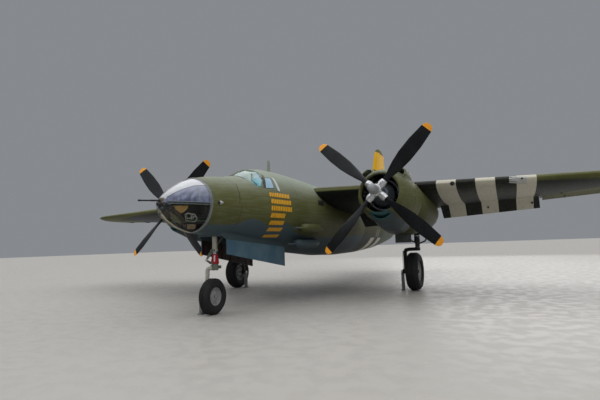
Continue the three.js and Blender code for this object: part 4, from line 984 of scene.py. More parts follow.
def chin_paint(tone, x, y, z):
    """The chin in slate grey with a rubbed lip, and the teal paint inside its crescent mouth, which darkens
    deeper in as painted shade.
    """
    lateral = reckon("ABSOLUTE", reckon("ABSOLUTE", x) - SHAFT_OUT)
    back = y - SHAFT_Y
    down = back * 0.0797 + (z - SHAFT_Z)
    side_edge = back * -0.06 + (lateral * 1.0 + -0.3)
    chin = spread(side_edge, -0.01, 0.04, 1.0, 0.0) * spread(down, -0.53, -0.5, 1.0, 0.0)
    tone = mix(chin, tone, CHIN_GREY)
    far = back - 0.3
    wide = lateral / (far * 0.07 + 0.283)
    low = (down + 0.43) / (far * 0.19 + 0.245)
    off = wide * wide + low * low
    inner = spread(off, 0.99, 1.01, 1.0, 0.0) * spread(down, -0.51, -0.5, 1.0, 0.0)
    lip = spread(down, -0.475, -0.46, 1.0, 0.0) * spread(lateral, 0.24, 0.28, 1.0, 0.0)
    lip = lip * spread(back, 0.3, 0.33, 1.0, 0.0)
    tone = mix(lip, tone, (0.022, 0.07, 0.072))
    inner = inner * spread(back, 0.335, 0.35)
    # Painted shade: the teal darkens to near-black further back in the duct.
    deep = mix(spread(back, 0.38, 1.0), DUCT_TEAL, (0.006, 0.018, 0.018))
    return mix(inner, tone, deep)


nacelle_paint = painted("nacelle_olive", None, panels=(0.7, 0.4), seams=(-1.9, -0.9),
    low_shade_heights=(1.6, 2.9, 0.8, 0.25))
cowl_paint = painted("cowl_olive", None, panels=(0.6, 0.5), extra=chin_paint, bleached_skylit_top=(3, 3.7, 0, 0.7),
    low_shade_heights=(1.9, 2.9, 0.35, 0.1))
for side in SIDES:
    dressed(f"nacelle_skin_{side}", f"nacelle_{side}", [nacelle_paint], 32)
    dressed(f"cowl_skin_{side}", f"cowl_{side}", [cowl_paint], 40)


def skin_of(node):
    copy = welded(node)
    skin = BVHTree.FromBMesh(copy)
    copy.free()
    return skin


def hit(skin, start, aim):
    """The point of the skin ahead of a start, and the skin's direction there."""
    return skin.ray_cast(start, aim)[:2]


def cast_rows(skin, starts, aims, lift=-0.0004, gap=0.3):
    """Rows of (point, outward direction) where rays from the starts meet the skin, broken at gaps. aims
    is one direction, or one for each start."""
    rows = [[]]
    aims = [aims] * len(starts) if isinstance(aims, Vector) else aims
    for start, aim in zip(starts, aims):
        spot, out, _, _ = skin.ray_cast(start, aim)
        if spot is None or (rows[-1] and (spot - rows[-1][-1][0]).length > gap):
            rows.append([])
        if spot is not None:
            out = -out if out.dot(aim) > 0 else out
            rows[-1].append((spot + out * lift, out))
    return [row for row in rows if len(row) > 1]


def girth(place, back, first, last, count, reach=1.4):
    """Starts and aims of rays that run round an engine's axis and look inwards."""
    starts, aims = [], []
    for i in range(count + 1):
        out = spoke(radians(first + (last - first) * i / count))
        starts.append(place @ (out * reach + vec(0, back, 0)))
        aims.append((place.to_3x3() @ -out).normalized())
    return starts, aims


# Cowl fasteners in pale rings, the gills at the cowl's back edge, and the rivet rows of the nacelles.
fastener_grey = plain_finish("fastener_grey", (0.15, 0.16, 0.12), (0.22, 0.22, 0.18), 0.5, 0.3, scale=30)
cowl_rivet = painted("cowl_rivet_olive", None, low_shade_heights=(1.6, 2.9, 0.6, 0.4))
for side in SIDES:
    place = engine_place(side)
    cowl = skin_of(f"cowl_{side}")
    nacelle = skin_of(f"nacelle_{side}")
    fasteners = []
    for back in (0.52, 1.06, 1.52):
        fasteners += cast_rows(cowl, *girth(place, back, 0, 360, 160), 0.0004)
    laid_rows(f"cowl_fasteners_{side}", rivet_tree, fasteners, fastener_grey, slot="gear_pale", Spacing=0.15,
        Head_radius=0.008, Head_height=0.003)
    rows = []
    for back in (0.54, 1.08):
        rows += cast_rows(cowl, *girth(place, back, 0, 360, 160))
    for station in (7.3, 7.85, 8.5, 9.1, 9.7, 10.2):
        spot = SHAFT[side] + vec(0, station - MID_LENGTH - SHAFT_Y, -0.25)
        spokes = [spoke(radians(i * 4)) for i in range(91)]
        starts = [spot + out * 1.5 for out in spokes]
        rows += cast_rows(nacelle, starts, [-out for out in spokes], gap=0.25)
    laid_rows(f"nacelle_rivets_{side}", rivet_tree, rows, cowl_rivet)
    seams = Bench()
    for back in (1.05, 1.5):
        seams.tapes(cast_rows(cowl, *girth(place, back, -48, 228, 120), 0.001), 0.008, 0.004)
    for gill in range(24):
        out = spoke(radians(-48 + gill * 12))
        starts = [place @ (out * 1.4 + vec(0, 1.52 + i * 0.05, 0)) for i in range(6)]
        seams.tapes(cast_rows(cowl, starts, (place.to_3x3() @ -out).normalized(), 0.001), 0.007, 0.004)
    seams.shown(f"cowl_seams_{side}", 40, [dark_metal])

# ENGINES. Two rows of nine air-cooled cylinders round a crankcase, with finned barrels, pushrod tubes,
# an ignition ring and a blue-grey reduction gear case in front. They are bolted to a firewall ring.
crankcase = plain_finish("crankcase", (0.02, 0.023, 0.026), (0.05, 0.055, 0.06), 0.5, 0.4, scale=14)
gear_case = plain_finish("gear_case", (0.14, 0.16, 0.18), (0.1, 0.115, 0.13), 0.45, 0.4, scale=16)
fin_alloy = plain_finish("fin_alloy", (0.045, 0.048, 0.05), (0.09, 0.09, 0.09), 0.5, 0.6, scale=20)


def cooling_fin(tree, given, out):
    disc = step(tree, "GeometryNodeMeshCylinder", {"Vertices": 14, "Radius": given["Fin radius"],
        "Depth": given["Fin thickness"]})
    turn = step(tree, "FunctionNodeAlignRotationToVector", {"Vector": out}, axis="Z")
    return disc.outputs["Mesh"], turn.outputs[0]


fin_tree = row_tree("cylinder_fins", {"Count": 13, "Fin radius": 0.092, "Fin thickness": 0.005}, cooling_fin,
    by_count=True)
for side in SIDES:
    place = engine_place(side)
    turn = place.to_3x3()
    bench = Bench()
    bench.turned(Vector(), (0, 1, 0), [(0, 0.152), (0.075, 0.152), (0.115, 0.2), (0.14, 0.3), (0.15, 0.34),
        (0.19, 0.37), (0.2, 0.44), (0.245, 0.5), (0.25, 0.56), (0.29, 0.6), (0.3, 0.64), (0, 0.66)], 40, 1)
    bench.turned(Vector(), (0, 1, 0), [(0, 0.62), (0.3, 0.62), (0.32, 0.66), (0.33, 0.8), (0.33, 1.4),
        (0.6, 1.42), (0.6, 1.78), (0, 1.79)], 40, 0)
    for stud in range(16):
        angle = stud / 16 * tau
        spot = spoke(angle, 0.272, 0.585)
        bench.turned(spot, (0, -1, 0), [(0, 0), (0.009, 0), (0.009, 0.018), (0, 0.018)], 6, 0)
    ring = [spoke(i / 48 * tau) for i in range(48)]
    bench.strap([p * 0.4 + vec(0, 0.66, 0) for p in ring], ring, 0.035, 0.035, 1, closed=True)
    fins = []
    for row, (back, first) in enumerate(((0.9, 90.0), (1.16, 110.0))):
        for number in range(9):
            angle = radians(first + number * 40)
            out = spoke(angle)
            across = vec(-out.z, 0, out.x)
            foot = vec(0, back, 0)
            bench.bar(foot + out * 0.3, foot + out * 0.56, 0.064, sides=16, finish=0)
            bench.turned(foot + out * 0.54, out, [(0, 0), (0.088, 0), (0.094, 0.03), (0.088, 0.075),
                (0.055, 0.1), (0, 0.104)], 16, 0)
            if row == 0:
                for lean in (-0.055, 0.055):
                    bench.bar(vec(0, 0.66, 0) + out * 0.33 + across * lean * 0.6,
                        foot + vec(0, -0.06, 0) + out * 0.6 + across * lean, 0.013, sides=10, finish=1)
                    bench.turned(foot + vec(0, -0.085, 0) + out * 0.6 + across * lean, (0, -1, 0),
                        [(0, -0.03), (0.028, -0.03), (0.028, 0.012), (0, 0.02)], 12, 1)
                bench.bar(vec(0, 0.66, 0) + out * 0.41, foot + vec(0, -0.07, 0) + out * 0.545, 0.006,
                    sides=6, finish=2)
            fins.append([(place @ (foot + out * (0.33 + i * 0.04)), turn @ out) for i in range(6)])
    mesh = bench.mesh(f"engine_{side}_castings", 35)
    mesh.transform(place)
    shown(f"engine_castings_{side}", mesh, [crankcase, gear_case, tip_yellow], [f"engine_{side}"],
        slot="engine_iron")
    laid_rows(f"engine_fins_{side}", fin_tree, fins, fin_alloy, slot="engine_iron")

# WING FITTINGS. Flush and domed rivets along the spars and ribs, a sunk lamp in the leading edge, hinge
# fairings below the trailing edge and glass wing-tip lamps, all screwed or riveted to the skin.
UP, DOWN, AFT = vec(0, 0, 1), vec(0, 0, -1), vec(0, 1, 0)


def wing_spot(sign, out, share, height):
    """A point at a height over the wing, at a distance out and a share of the chord there."""
    return vec(sign * out, 5.45 + 0.1344 * out - MID_LENGTH + share * (3.95 - 0.2125 * out), height)


def evenly(start, end, count):
    return [Vector(start).lerp(Vector(end), i / count) for i in range(count + 1)]


# Heights clear of the surface, each with the way from there to its skin.
WING_FACES = ((4.6, DOWN), (1.4, UP))
FLAP_FACES = ((4.6, DOWN), (1.2, UP))
WING_RIBS = (1.5, 2.2, 4.6, 5.2, 5.9, 6.6, 7.3, 8, 8.7, 9.4, 10)
WING_SPARS = (0.06, 0.14, 0.32, 0.34, 0.58, 0.7)
HINGES = ((4.75, 0.79), (5.6, 0.79), (6.5, 0.79), (7.7, 0.74), (8.7, 0.74), (9.7, 0.74))
wing_rivet = painted("wing_rivet_olive", wing_belly, belly_grey=UNDERSIDE_SHADED)
lens_dark = plain_finish("lens_dark", (0.01, 0.012, 0.013), (0.025, 0.028, 0.03), 0.14, scale=20)
lens_red = plain_finish("lens_red", (0.4, 0.012, 0.01), (0.25, 0.01, 0.008), 0.15, scale=20)
lens_green = plain_finish("lens_green", (0.01, 0.28, 0.09), (0.008, 0.17, 0.06), 0.15, scale=20)
patch_pale = plain_finish("patch_pale", (0.44, 0.45, 0.44), (0.3, 0.31, 0.3), 0.5, scale=14)
for side, sign in SIDES.items():
    skin = skin_of(f"wing_{side}")
    rows = []
    for height, aim in WING_FACES:
        ways = [evenly(wing_spot(sign, x, 0.03, height), wing_spot(sign, x, 0.72, height), 24)
            for x in WING_RIBS]
        ways += [evenly(wing_spot(sign, 1.4, share, height), wing_spot(sign, 10.2, share, height), 60)
            for share in WING_SPARS]
        for way in ways:
            rows += cast_rows(skin, way, aim)
    laid_rows(f"wing_rivets_{side}", rivet_tree, rows, wing_rivet, Spacing=0.075)
    lamp = Bench()
    spot, out = hit(skin, vec(sign * 4.955, -4, 3.118), AFT)
    lamp.turned(spot - out * 0.02, out, [(0, 0), (0.06, 0), (0.062, 0.024), (0.05, 0.028), (0, 0.028)], 28,
        1)
    lamp.turned(spot - out * 0.01, out, [(0, 0), (0.048, 0.02), (0.046, 0.044), (0.03, 0.056), (0, 0.06)],
        28)
    tip, _ = hit(skin, vec(sign * 12, wing_spot(sign, 10.6, 0.35, 0).y, 3.02), vec(-sign, 0, 0))
    lamp.turned(tip - vec(sign * 0.03, 0, 0), AFT, [(0, -0.11), (0.02, -0.09), (0.034, -0.04), (0.036, 0.03),
        (0.022, 0.09), (0, 0.12)], 20, 2)
    lamp.shown(f"wing_lamps_{side}", 40, [lens_dark, dark_metal, lens_red if sign > 0 else lens_green],
        slot="glazing")
    fittings = Bench()
    for x, share in HINGES:
        start = wing_spot(sign, x, share, 1.4) - AFT * 0.34
        for row in cast_rows(skin, evenly(start, start + AFT * 0.3, 6), UP, 0.004):
            front, back = row[0][0], row[-1][0]
            length = (back - front).length
            fittings.turned(front, back - front, [(0, 0), (0.014, 0.03), (0.024, 0.1), (0.028, 0.2),
                (0.026, length), (0, length + 0.01)], 14)
    if side == "port":
        for height in (3.01, 3.06, 3.11, 3.16):
            way = evenly((6.385, -4, height + 0.035), (6.8, -4, height - 0.02), 8)
            fittings.tapes(cast_rows(skin, way, AFT, 0.001), 0.054, 0.004, 1)
        fittings.turned(*hit(skin, vec(6.693, -4, 3.117), AFT), [(0, 0), (0.028, 0), (0.026, 0.01),
            (0, 0.012)], 20, 2)
    fittings.shown(f"wing_fittings_{side}", 40, [cowl_rivet, patch_pale, dark_metal])

# Hinge arms, trim tabs and their rods ride on the surface they work: flaps of riveted sheet, and
# fabric-covered ailerons with a tab at the inboard end.
fabric_tape = painted("fabric_tape", wing_belly, belly_grey=((0.03, 0.036, 0.036), (0.055, 0.062, 0.06)))
# Each surface: its name, inner and outer end, number of ribs, and where the ribs start along the chord.
SURFACES = (("flap_inner", 1.45, 2.52, 4, 0.82), ("flap_outer", 4.32, 7.05, 8, 0.82),
    ("aileron", 7.28, 10.05, 9, 0.78))
for side, sign in SIDES.items():
    for name, first, last, ribs, lead in SURFACES:
        body = f"{name}_{side}"
        skin = skin_of(body)
        parts = Bench()
        rows = []
        for height, aim in FLAP_FACES:
            for i in range(ribs):
                x = first + (last - first) * i / (ribs - 1)
                way = evenly(wing_spot(sign, x, lead, height), wing_spot(sign, x, 0.965, height), 8)
                rows += cast_rows(skin, way, aim, 0.0008)
        if name == "aileron":
            parts.tapes(rows, 0.04, 0.002)
            for height, aim in FLAP_FACES:
                way = evenly(wing_spot(sign, 7.4, 0.905, height), wing_spot(sign, 8.45, 0.905, height), 12)
                parts.tapes(cast_rows(skin, way, aim, 0.001), 0.01, 0.003, 1)
            feet = [hit(skin, wing_spot(sign, 7.8, share, 1.2), UP) for share in (0.83, 0.93)]
            parts.bar(*[foot + out * 0.03 for foot, out in feet], 0.006, sides=10, finish=1)
            for foot, out in feet:
                parts.bar(foot - out * 0.004, foot + out * 0.04, 0.009, sides=10, finish=1)
        else:
            for i in range(3):
                x = first + 0.12 + (last - first - 0.24) * i / 2
                spot, out = hit(skin, wing_spot(sign, x, 0.84, 1.2), UP)
                parts.turned(spot, (0, 1, 0.12), [(0, -0.09), (0.02, -0.06), (0.032, 0), (0.026, 0.08),
                    (0, 0.14)], 16)
                parts.bar(spot - out * 0.01, spot + out * 0.05, 0.012, sides=12, finish=1)
            laid_rows(f"{name}_rivets_{side}", rivet_tree, rows, wing_rivet, body=body, Spacing=0.075)
        parts.shown(f"{name}_parts_{side}", 40, [fabric_tape, dark_metal], body=body,
            slot="doped_fabric" if name == "aileron" else "olive_skin")

# PROPELLERS. Four hollow steel blades, painted black with yellow tips, in bright root cuffs; the
# polished barrel clamps them and carries the domed pitch cylinder.
FIRST_BLADE = {"port": radians(47.8), "starboard": radians(43.6)}
blade_black = plain_finish("blade_black", (0.004, 0.005, 0.006), (0.012, 0.014, 0.017), 0.36, scale=3)
blade_black.node_tree.nodes["Principled BSDF"].inputs["Specular IOR Level"].default_value = 0.14
hub_grey = plain_finish("hub_grey", (0.3, 0.31, 0.32), (0.22, 0.23, 0.24), 0.5, 0.3, scale=9)
polished = plain_finish("polished_metal", (0.56, 0.57, 0.58), (0.42, 0.43, 0.44), 0.26, 0.9, scale=9,
    depth=0.00008)
# Blade sections: radius, chord, thickness, pitch in degrees.
BLADE = [(0.3, 0.135, 0.118, 58), (0.46, 0.16, 0.105, 52), (0.62, 0.255, 0.078, 45),
    (0.82, 0.325, 0.058, 39), (1.1, 0.38, 0.042, 33), (1.5, 0.37, 0.03, 26), (1.9, 0.29, 0.02, 21),
    (1.93, 0.278, 0.018, 21), (1.99, 0.235, 0.014, 20), (2.035, 0.165, 0.01, 20), (2.054, 0.08, 0.008, 20)]
TIP_START = 7
BLADE_SIDES = 20


def blade_ring(radius, chord, thick, pitch):
    ring = []
    for i in range(BLADE_SIDES):
        angle = i / BLADE_SIDES * tau
        wide = cos(angle) / 2
        deep = sin(angle) / 2 * (1 - 0.35 * cos(angle))
        beta = radians(pitch)
        ring.append(vec(radius, -wide * chord * sin(beta) + deep * thick * cos(beta),
            wide * chord * cos(beta) + deep * thick * sin(beta)))
    return ring


for side, first_turn in FIRST_BLADE.items():
    bench = Bench()
    for blade in range(4):
        turn = Matrix.Rotation(-(first_turn + blade * pi / 2), 3, "Y")
        finishes = [1 if row >= TIP_START else 0 for row in range(len(BLADE) - 1)]
        bench.loft([[turn @ p for p in blade_ring(*row)] for row in BLADE], finishes)
        out = turn @ vec(1, 0, 0)
        bench.turned(Vector(), out, [(0.098, 0.05), (0.098, 0.2), (0.108, 0.205), (0.108, 0.235),
            (0.098, 0.24), (0.09, 0.3), (0.082, 0.33), (0, 0.335)], 28, 2)
        bench.turned(Vector(), out, [(0, 0.24), (0.104, 0.26), (0.104, 0.275), (0, 0.28)], 28, 2)
    bench.turned(Vector(), (0, -1, 0), [(0, -0.148), (0.13, -0.148), (0.15, -0.1), (0.165, -0.08),
        (0.165, 0.09), (0.15, 0.115), (0.118, 0.125), (0.112, 0.15)], 40, 2)
    bench.turned(Vector(), (0, -1, 0), [(0, 0.14), (0.124, 0.14), (0.13, 0.15), (0.13, 0.175),
        (0.126, 0.185), (0.112, 0.2), (0.116, 0.3), (0.113, 0.36), (0.103, 0.42), (0.084, 0.465),
        (0.058, 0.495), (0.026, 0.509), (0, 0.512)], 40, 3)
    for bolt in range(8):
        angle = bolt / 8 * tau
        bench.turned(spoke(angle, 0.148, -0.1), (0, -1, 0), [(0, 0), (0.01, 0), (0.01, 0.022), (0, 0.024)],
            6, 2)
    place = engine_place(side)
    mesh = bench.mesh(f"blades_and_hub_{side}", 40)
    mesh.transform(place)
    shown(f"blades_and_hub_{side}", mesh, [blade_black, tip_yellow, polished, hub_grey],
        [f"propeller_{side}"], body=f"propeller_{side}", slot="propeller_black")

# WHEELS. Smooth-sided low-pressure tyres with ribbed treads on cast wheels with a bolted disc.
rubber = plain_finish("tyre_rubber", (0.006, 0.006, 0.007), (0.016, 0.016, 0.016), 0.72, scale=7,
    depth=0.001)
wheel_metal = plain_finish("wheel_metal", (0.3, 0.31, 0.31), (0.2, 0.2, 0.19), 0.45, 0.5, scale=12)
WHEELS = [("main", "port", 1), ("main", "starboard", -1), ("nose", "", 1)]
TREAD_RIBS = 5


def tyre_profile(radius, rim, half):
    """Half of the section as radius and distance across, from the rim's edge out to the tread's middle."""
    wall = rim + (radius - rim) * 0.5
    side = [(rim, half * 0.66), (rim + 0.012, half * 0.78), (rim + (wall - rim) * 0.5, half * 0.93),
        (wall - 0.004, half * 0.992), (wall, half * 0.985), (wall + 0.004, half * 0.992),
        (wall + (radius - wall) * 0.45, half * 0.93), (radius - 0.034, half * 0.74),
        (radius - 0.012, half * 0.52)]
    groove = half * 0.1
    tread = []
    for rib in range(TREAD_RIBS):
        outer = half * 0.46 - rib * groove * 2.05
        tread += [(radius - 0.002, outer), (radius - 0.002, outer - groove * 1.5),
            (radius - 0.014, outer - groove * 1.6), (radius - 0.014, outer - groove * 1.95)]
    return side + tread[:-2] + [(r, -a) for r, a in reversed(side)]


for kind, side, sign in WHEELS:
    tag = f"_{side}" if side else ""
    low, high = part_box(f"{kind}_tyre{tag}")
    centre, radius, half = (low + high) / 2, (high.z - low.z) / 2, (high.x - low.x) / 2
    rim_low, rim_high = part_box(f"{kind}_rim{tag}")
    rim = (rim_high.z - rim_low.z) / 2
    body = f"{kind}_wheel{tag}"
    bench = Bench()
    bench.turned(centre, (1, 0, 0), tyre_profile(radius, rim + 0.001, half), 96, 0, closed=True)
    bench.shown(f"{kind}_tyre_ribbed{tag}", 50, [rubber], [f"{kind}_tyre{tag}"], body=body,
        slot="tyre_rubber")
    bench = Bench()
    bore = 0.047 if kind == "main" else 0.034
    wide = half * 0.68
    outside = sign
    bench.turned(centre, (outside, 0, 0), [(bore, -wide * 0.8), (rim * 0.45, -wide * 0.8),
        (rim * 0.62, -wide * 0.42), (rim * 0.86, -wide * 0.42), (rim * 0.93, -wide),
        (rim + 0.012, -wide * 1.02), (rim + 0.012, -wide * 0.96), (rim, -wide * 0.92), (rim, wide * 0.92),
        (rim + 0.012, wide * 0.96), (rim + 0.012, wide * 1.02), (rim * 0.93, wide),
        (rim * 0.88, wide * 0.72), (rim * 0.6, wide * 0.62), (rim * 0.45, wide * 0.78), (bore, wide * 0.8)],
        72, 0, closed=True)
    for bolt in range(10):
        angle = bolt / 10 * tau
        spot = centre + vec(outside * wide * 0.64, cos(angle) * rim * 0.72, sin(angle) * rim * 0.72)
        bench.turned(spot, (outside, 0, 0), [(0, 0), (0.011, 0), (0.011, 0.016), (0, 0.016)], 6, 0)
    bench.shown(f"{kind}_wheel_casting{tag}", 32, [wheel_metal], [f"{kind}_rim{tag}"], body=body,
        slot="wheel_metal")

# NOSE GEAR. A cream air-and-oil strut with scissor links in front, a bent half-fork in its pale clamp
# and a red cloth streamer with a white stripe tied round the strut, as left by the museum.
gear_black = plain_finish("gear_black", (0.006, 0.007, 0.008), (0.022, 0.022, 0.022), 0.42, 0.2)
gear_pale = plain_finish("gear_pale", (0.46, 0.45, 0.38), (0.32, 0.31, 0.26), 0.45, 0.2)
stand_grey = plain_finish("stand_grey", (0.16, 0.165, 0.17), (0.22, 0.22, 0.22), 0.5)
link_green = plain_finish("link_green", (0.15, 0.17, 0.14), (0.09, 0.1, 0.08), 0.45, 0.2, scale=16)
bright_steel = plain_finish("bright_steel", (0.5, 0.51, 0.52), (0.36, 0.37, 0.38), 0.28, 0.9, scale=20,
    depth=8e-05)
streamer_red = plain_finish("streamer_red", (0.42, 0.01, 0.02), (0.26, 0.008, 0.014), 0.85, scale=30)
streamer_white = plain_finish("streamer_white", (0.62, 0.6, 0.6), (0.48, 0.46, 0.46), 0.85, scale=30)
hose_black = plain_finish("hose_black", (0.008, 0.008, 0.009), (0.02, 0.02, 0.02), 0.55, scale=30)
NOSE_STRUT_Y = -6.54
NOSE_FOOT = vec(0, NOSE_STRUT_Y, 0)
NOSE_AXLE_Y = -6.64
NOSE_AXLE_Z = 0.4205
MAIN_AXLE_Z = 0.597
strut = Bench()
strut.turned(NOSE_FOOT, UP, [(0, 1.181), (0.046, 1.181), (0.046, 1.5), (0, 1.5)], 32, 2)
strut.turned(NOSE_FOOT, UP, [(0, 1.47), (0.066, 1.47), (0.07, 1.48), (0.07, 1.52), (0.063, 1.54),
    (0.063, 1.9), (0.07, 1.91), (0.07, 1.96), (0.062, 1.98), (0.062, 2.068), (0, 2.068)], 36, 0)
strut.bar((-0.397, NOSE_STRUT_Y + 0.02, 2.015), (0.397, NOSE_STRUT_Y + 0.02, 2.015), 0.034, sides=20,
    finish=0)
strut.bar((0, NOSE_STRUT_Y + 0.05, 1.6), (0, -5.955, 2.032), 0.019, sides=16, finish=0)
strut.bar((-0.03, NOSE_STRUT_Y + 0.05, 1.6), (0.03, NOSE_STRUT_Y + 0.05, 1.6), 0.026, sides=16, finish=1)
LINK_ENDS = [vec(0, -6.63, 1.5), vec(-0.06, -6.79, 1.27), vec(-0.045, -6.625, 1.195)]
for pivot in (0, 2):
    spot = LINK_ENDS[pivot]
    strut.block(spot - vec(0.048, 0.012, 0.022), spot + vec(0.048, 0.05, 0.022), 1)
    for shift in (-0.034, 0.034):
        strut.bar(spot + vec(shift, 0, 0), LINK_ENDS[1] + vec(shift * 0.4, 0, 0), 0.018, 0.014, 12, 1)
    strut.bar(spot - vec(0.055, 0, 0), spot + vec(0.055, 0, 0), 0.011, sides=12, finish=2)
strut.bar(LINK_ENDS[1] - vec(0.032, 0, 0), LINK_ENDS[1] + vec(0.032, 0, 0), 0.017, sides=12, finish=2)
hose = [vec(0.052 + 0.02 * sin(i / 12 * pi), NOSE_STRUT_Y + 0.045, 2.0 - 0.075 * i) for i in range(13)]
for start, end in zip(hose, hose[1:]):
    strut.bar(start, end, 0.007, sides=8, finish=3)
strut.shown("nose_strut", 35, [gear_pale, link_green, bright_steel, hose_black], ["nose_leg"],
    slot="gear_pale")
tag = Bench()
tag.turned(NOSE_FOOT, UP, [(0.05, 1.405), (0.064, 1.405), (0.062, 1.385), (0.078, 1.33), (0.094, 1.23),
    (0.098, 1.185), (0.092, 1.18), (0.086, 1.23), (0.07, 1.33), (0.052, 1.39)], 28, 0, closed=True)
TAG_WAY = vec(0.5, -0.86, 0).normalized()
stripe = [vec(0, NOSE_STRUT_Y, height) + TAG_WAY * reach for height, reach in ((1.375, 0.068), (1.33, 0.082),
    (1.28, 0.09), (1.23, 0.098))]
tag.strap(stripe, [(TAG_WAY + vec(0, 0, 0.2)).normalized()] * 4, 0.036, 0.005, 1)
tag.shown("nose_streamer", 50, [streamer_red, streamer_white], slot="doped_fabric")


def bent_bar(bench, points, radii, sides, finish, squash=1.0):
    """A tube through points, mitred at each bend; squash flattens it along the world's y."""
    rings = []
    for i, point in enumerate(points):
        point = Vector(point)
        before = (point - Vector(points[i - 1])).normalized() if i else None
        after = (Vector(points[i + 1]) - point).normalized() if i < len(points) - 1 else None
        way = (before or after) + (after or before)
        way.normalize()
        across = vec(0, 1, 0)
        other = way.cross(across).normalized()
        rings.append([point + (across * cos(t / sides * tau) * squash + other * sin(t / sides * tau))
            * radii[i] for t in range(sides)])
    bench.loft(rings, finish)


fork = Bench()
fork.turned(NOSE_FOOT, UP, [(0, 1.022), (0.07, 1.022), (0.08, 1.036), (0.08, 1.165), (0.07, 1.179),
    (0, 1.179)], 32, 1)
bent_bar(fork, [(0.03, NOSE_STRUT_Y - 0.01, 1.075), (-0.15, NOSE_STRUT_Y - 0.015, 1.07),
    (-0.195, NOSE_STRUT_Y - 0.018, 1.052), (-0.214, NOSE_STRUT_Y - 0.02, 1.01),
    (-0.215, NOSE_STRUT_Y - 0.02, 0.9), (-0.215, NOSE_STRUT_Y - 0.06, 0.6),
    (-0.213, NOSE_STRUT_Y - 0.1, 0.44)], [0.05, 0.05, 0.051, 0.051, 0.05, 0.048, 0.046], 24, 0)
fork.bar((-0.36, NOSE_AXLE_Y, NOSE_AXLE_Z), (0.088, NOSE_AXLE_Y, NOSE_AXLE_Z), 0.031, sides=24, finish=2)
fork.bar((-0.262, NOSE_AXLE_Y, NOSE_AXLE_Z), (-0.172, NOSE_AXLE_Y, NOSE_AXLE_Z), 0.06, sides=28, finish=0)
fork.turned((0.06, NOSE_AXLE_Y, NOSE_AXLE_Z), (1, 0, 0), [(0, 0), (0.044, 0), (0.044, 0.016), (0.036, 0.026),
    (0, 0.028)], 6, 1)
fork.block((-0.075, NOSE_STRUT_Y + 0.06, 1.06), (0.075, NOSE_STRUT_Y + 0.145, 1.13), 1)
for sign in (1, -1):
    fork.bar((sign * 0.05, NOSE_STRUT_Y - 0.075, 1.14), (sign * 0.05, NOSE_STRUT_Y - 0.098, 1.14), 0.014,
        sides=6, finish=2)
fork.shown("nose_half_fork", 38, [gear_pale, link_green, bright_steel], ["nose_fork"], body="nose_fork",
    slot="gear_pale")

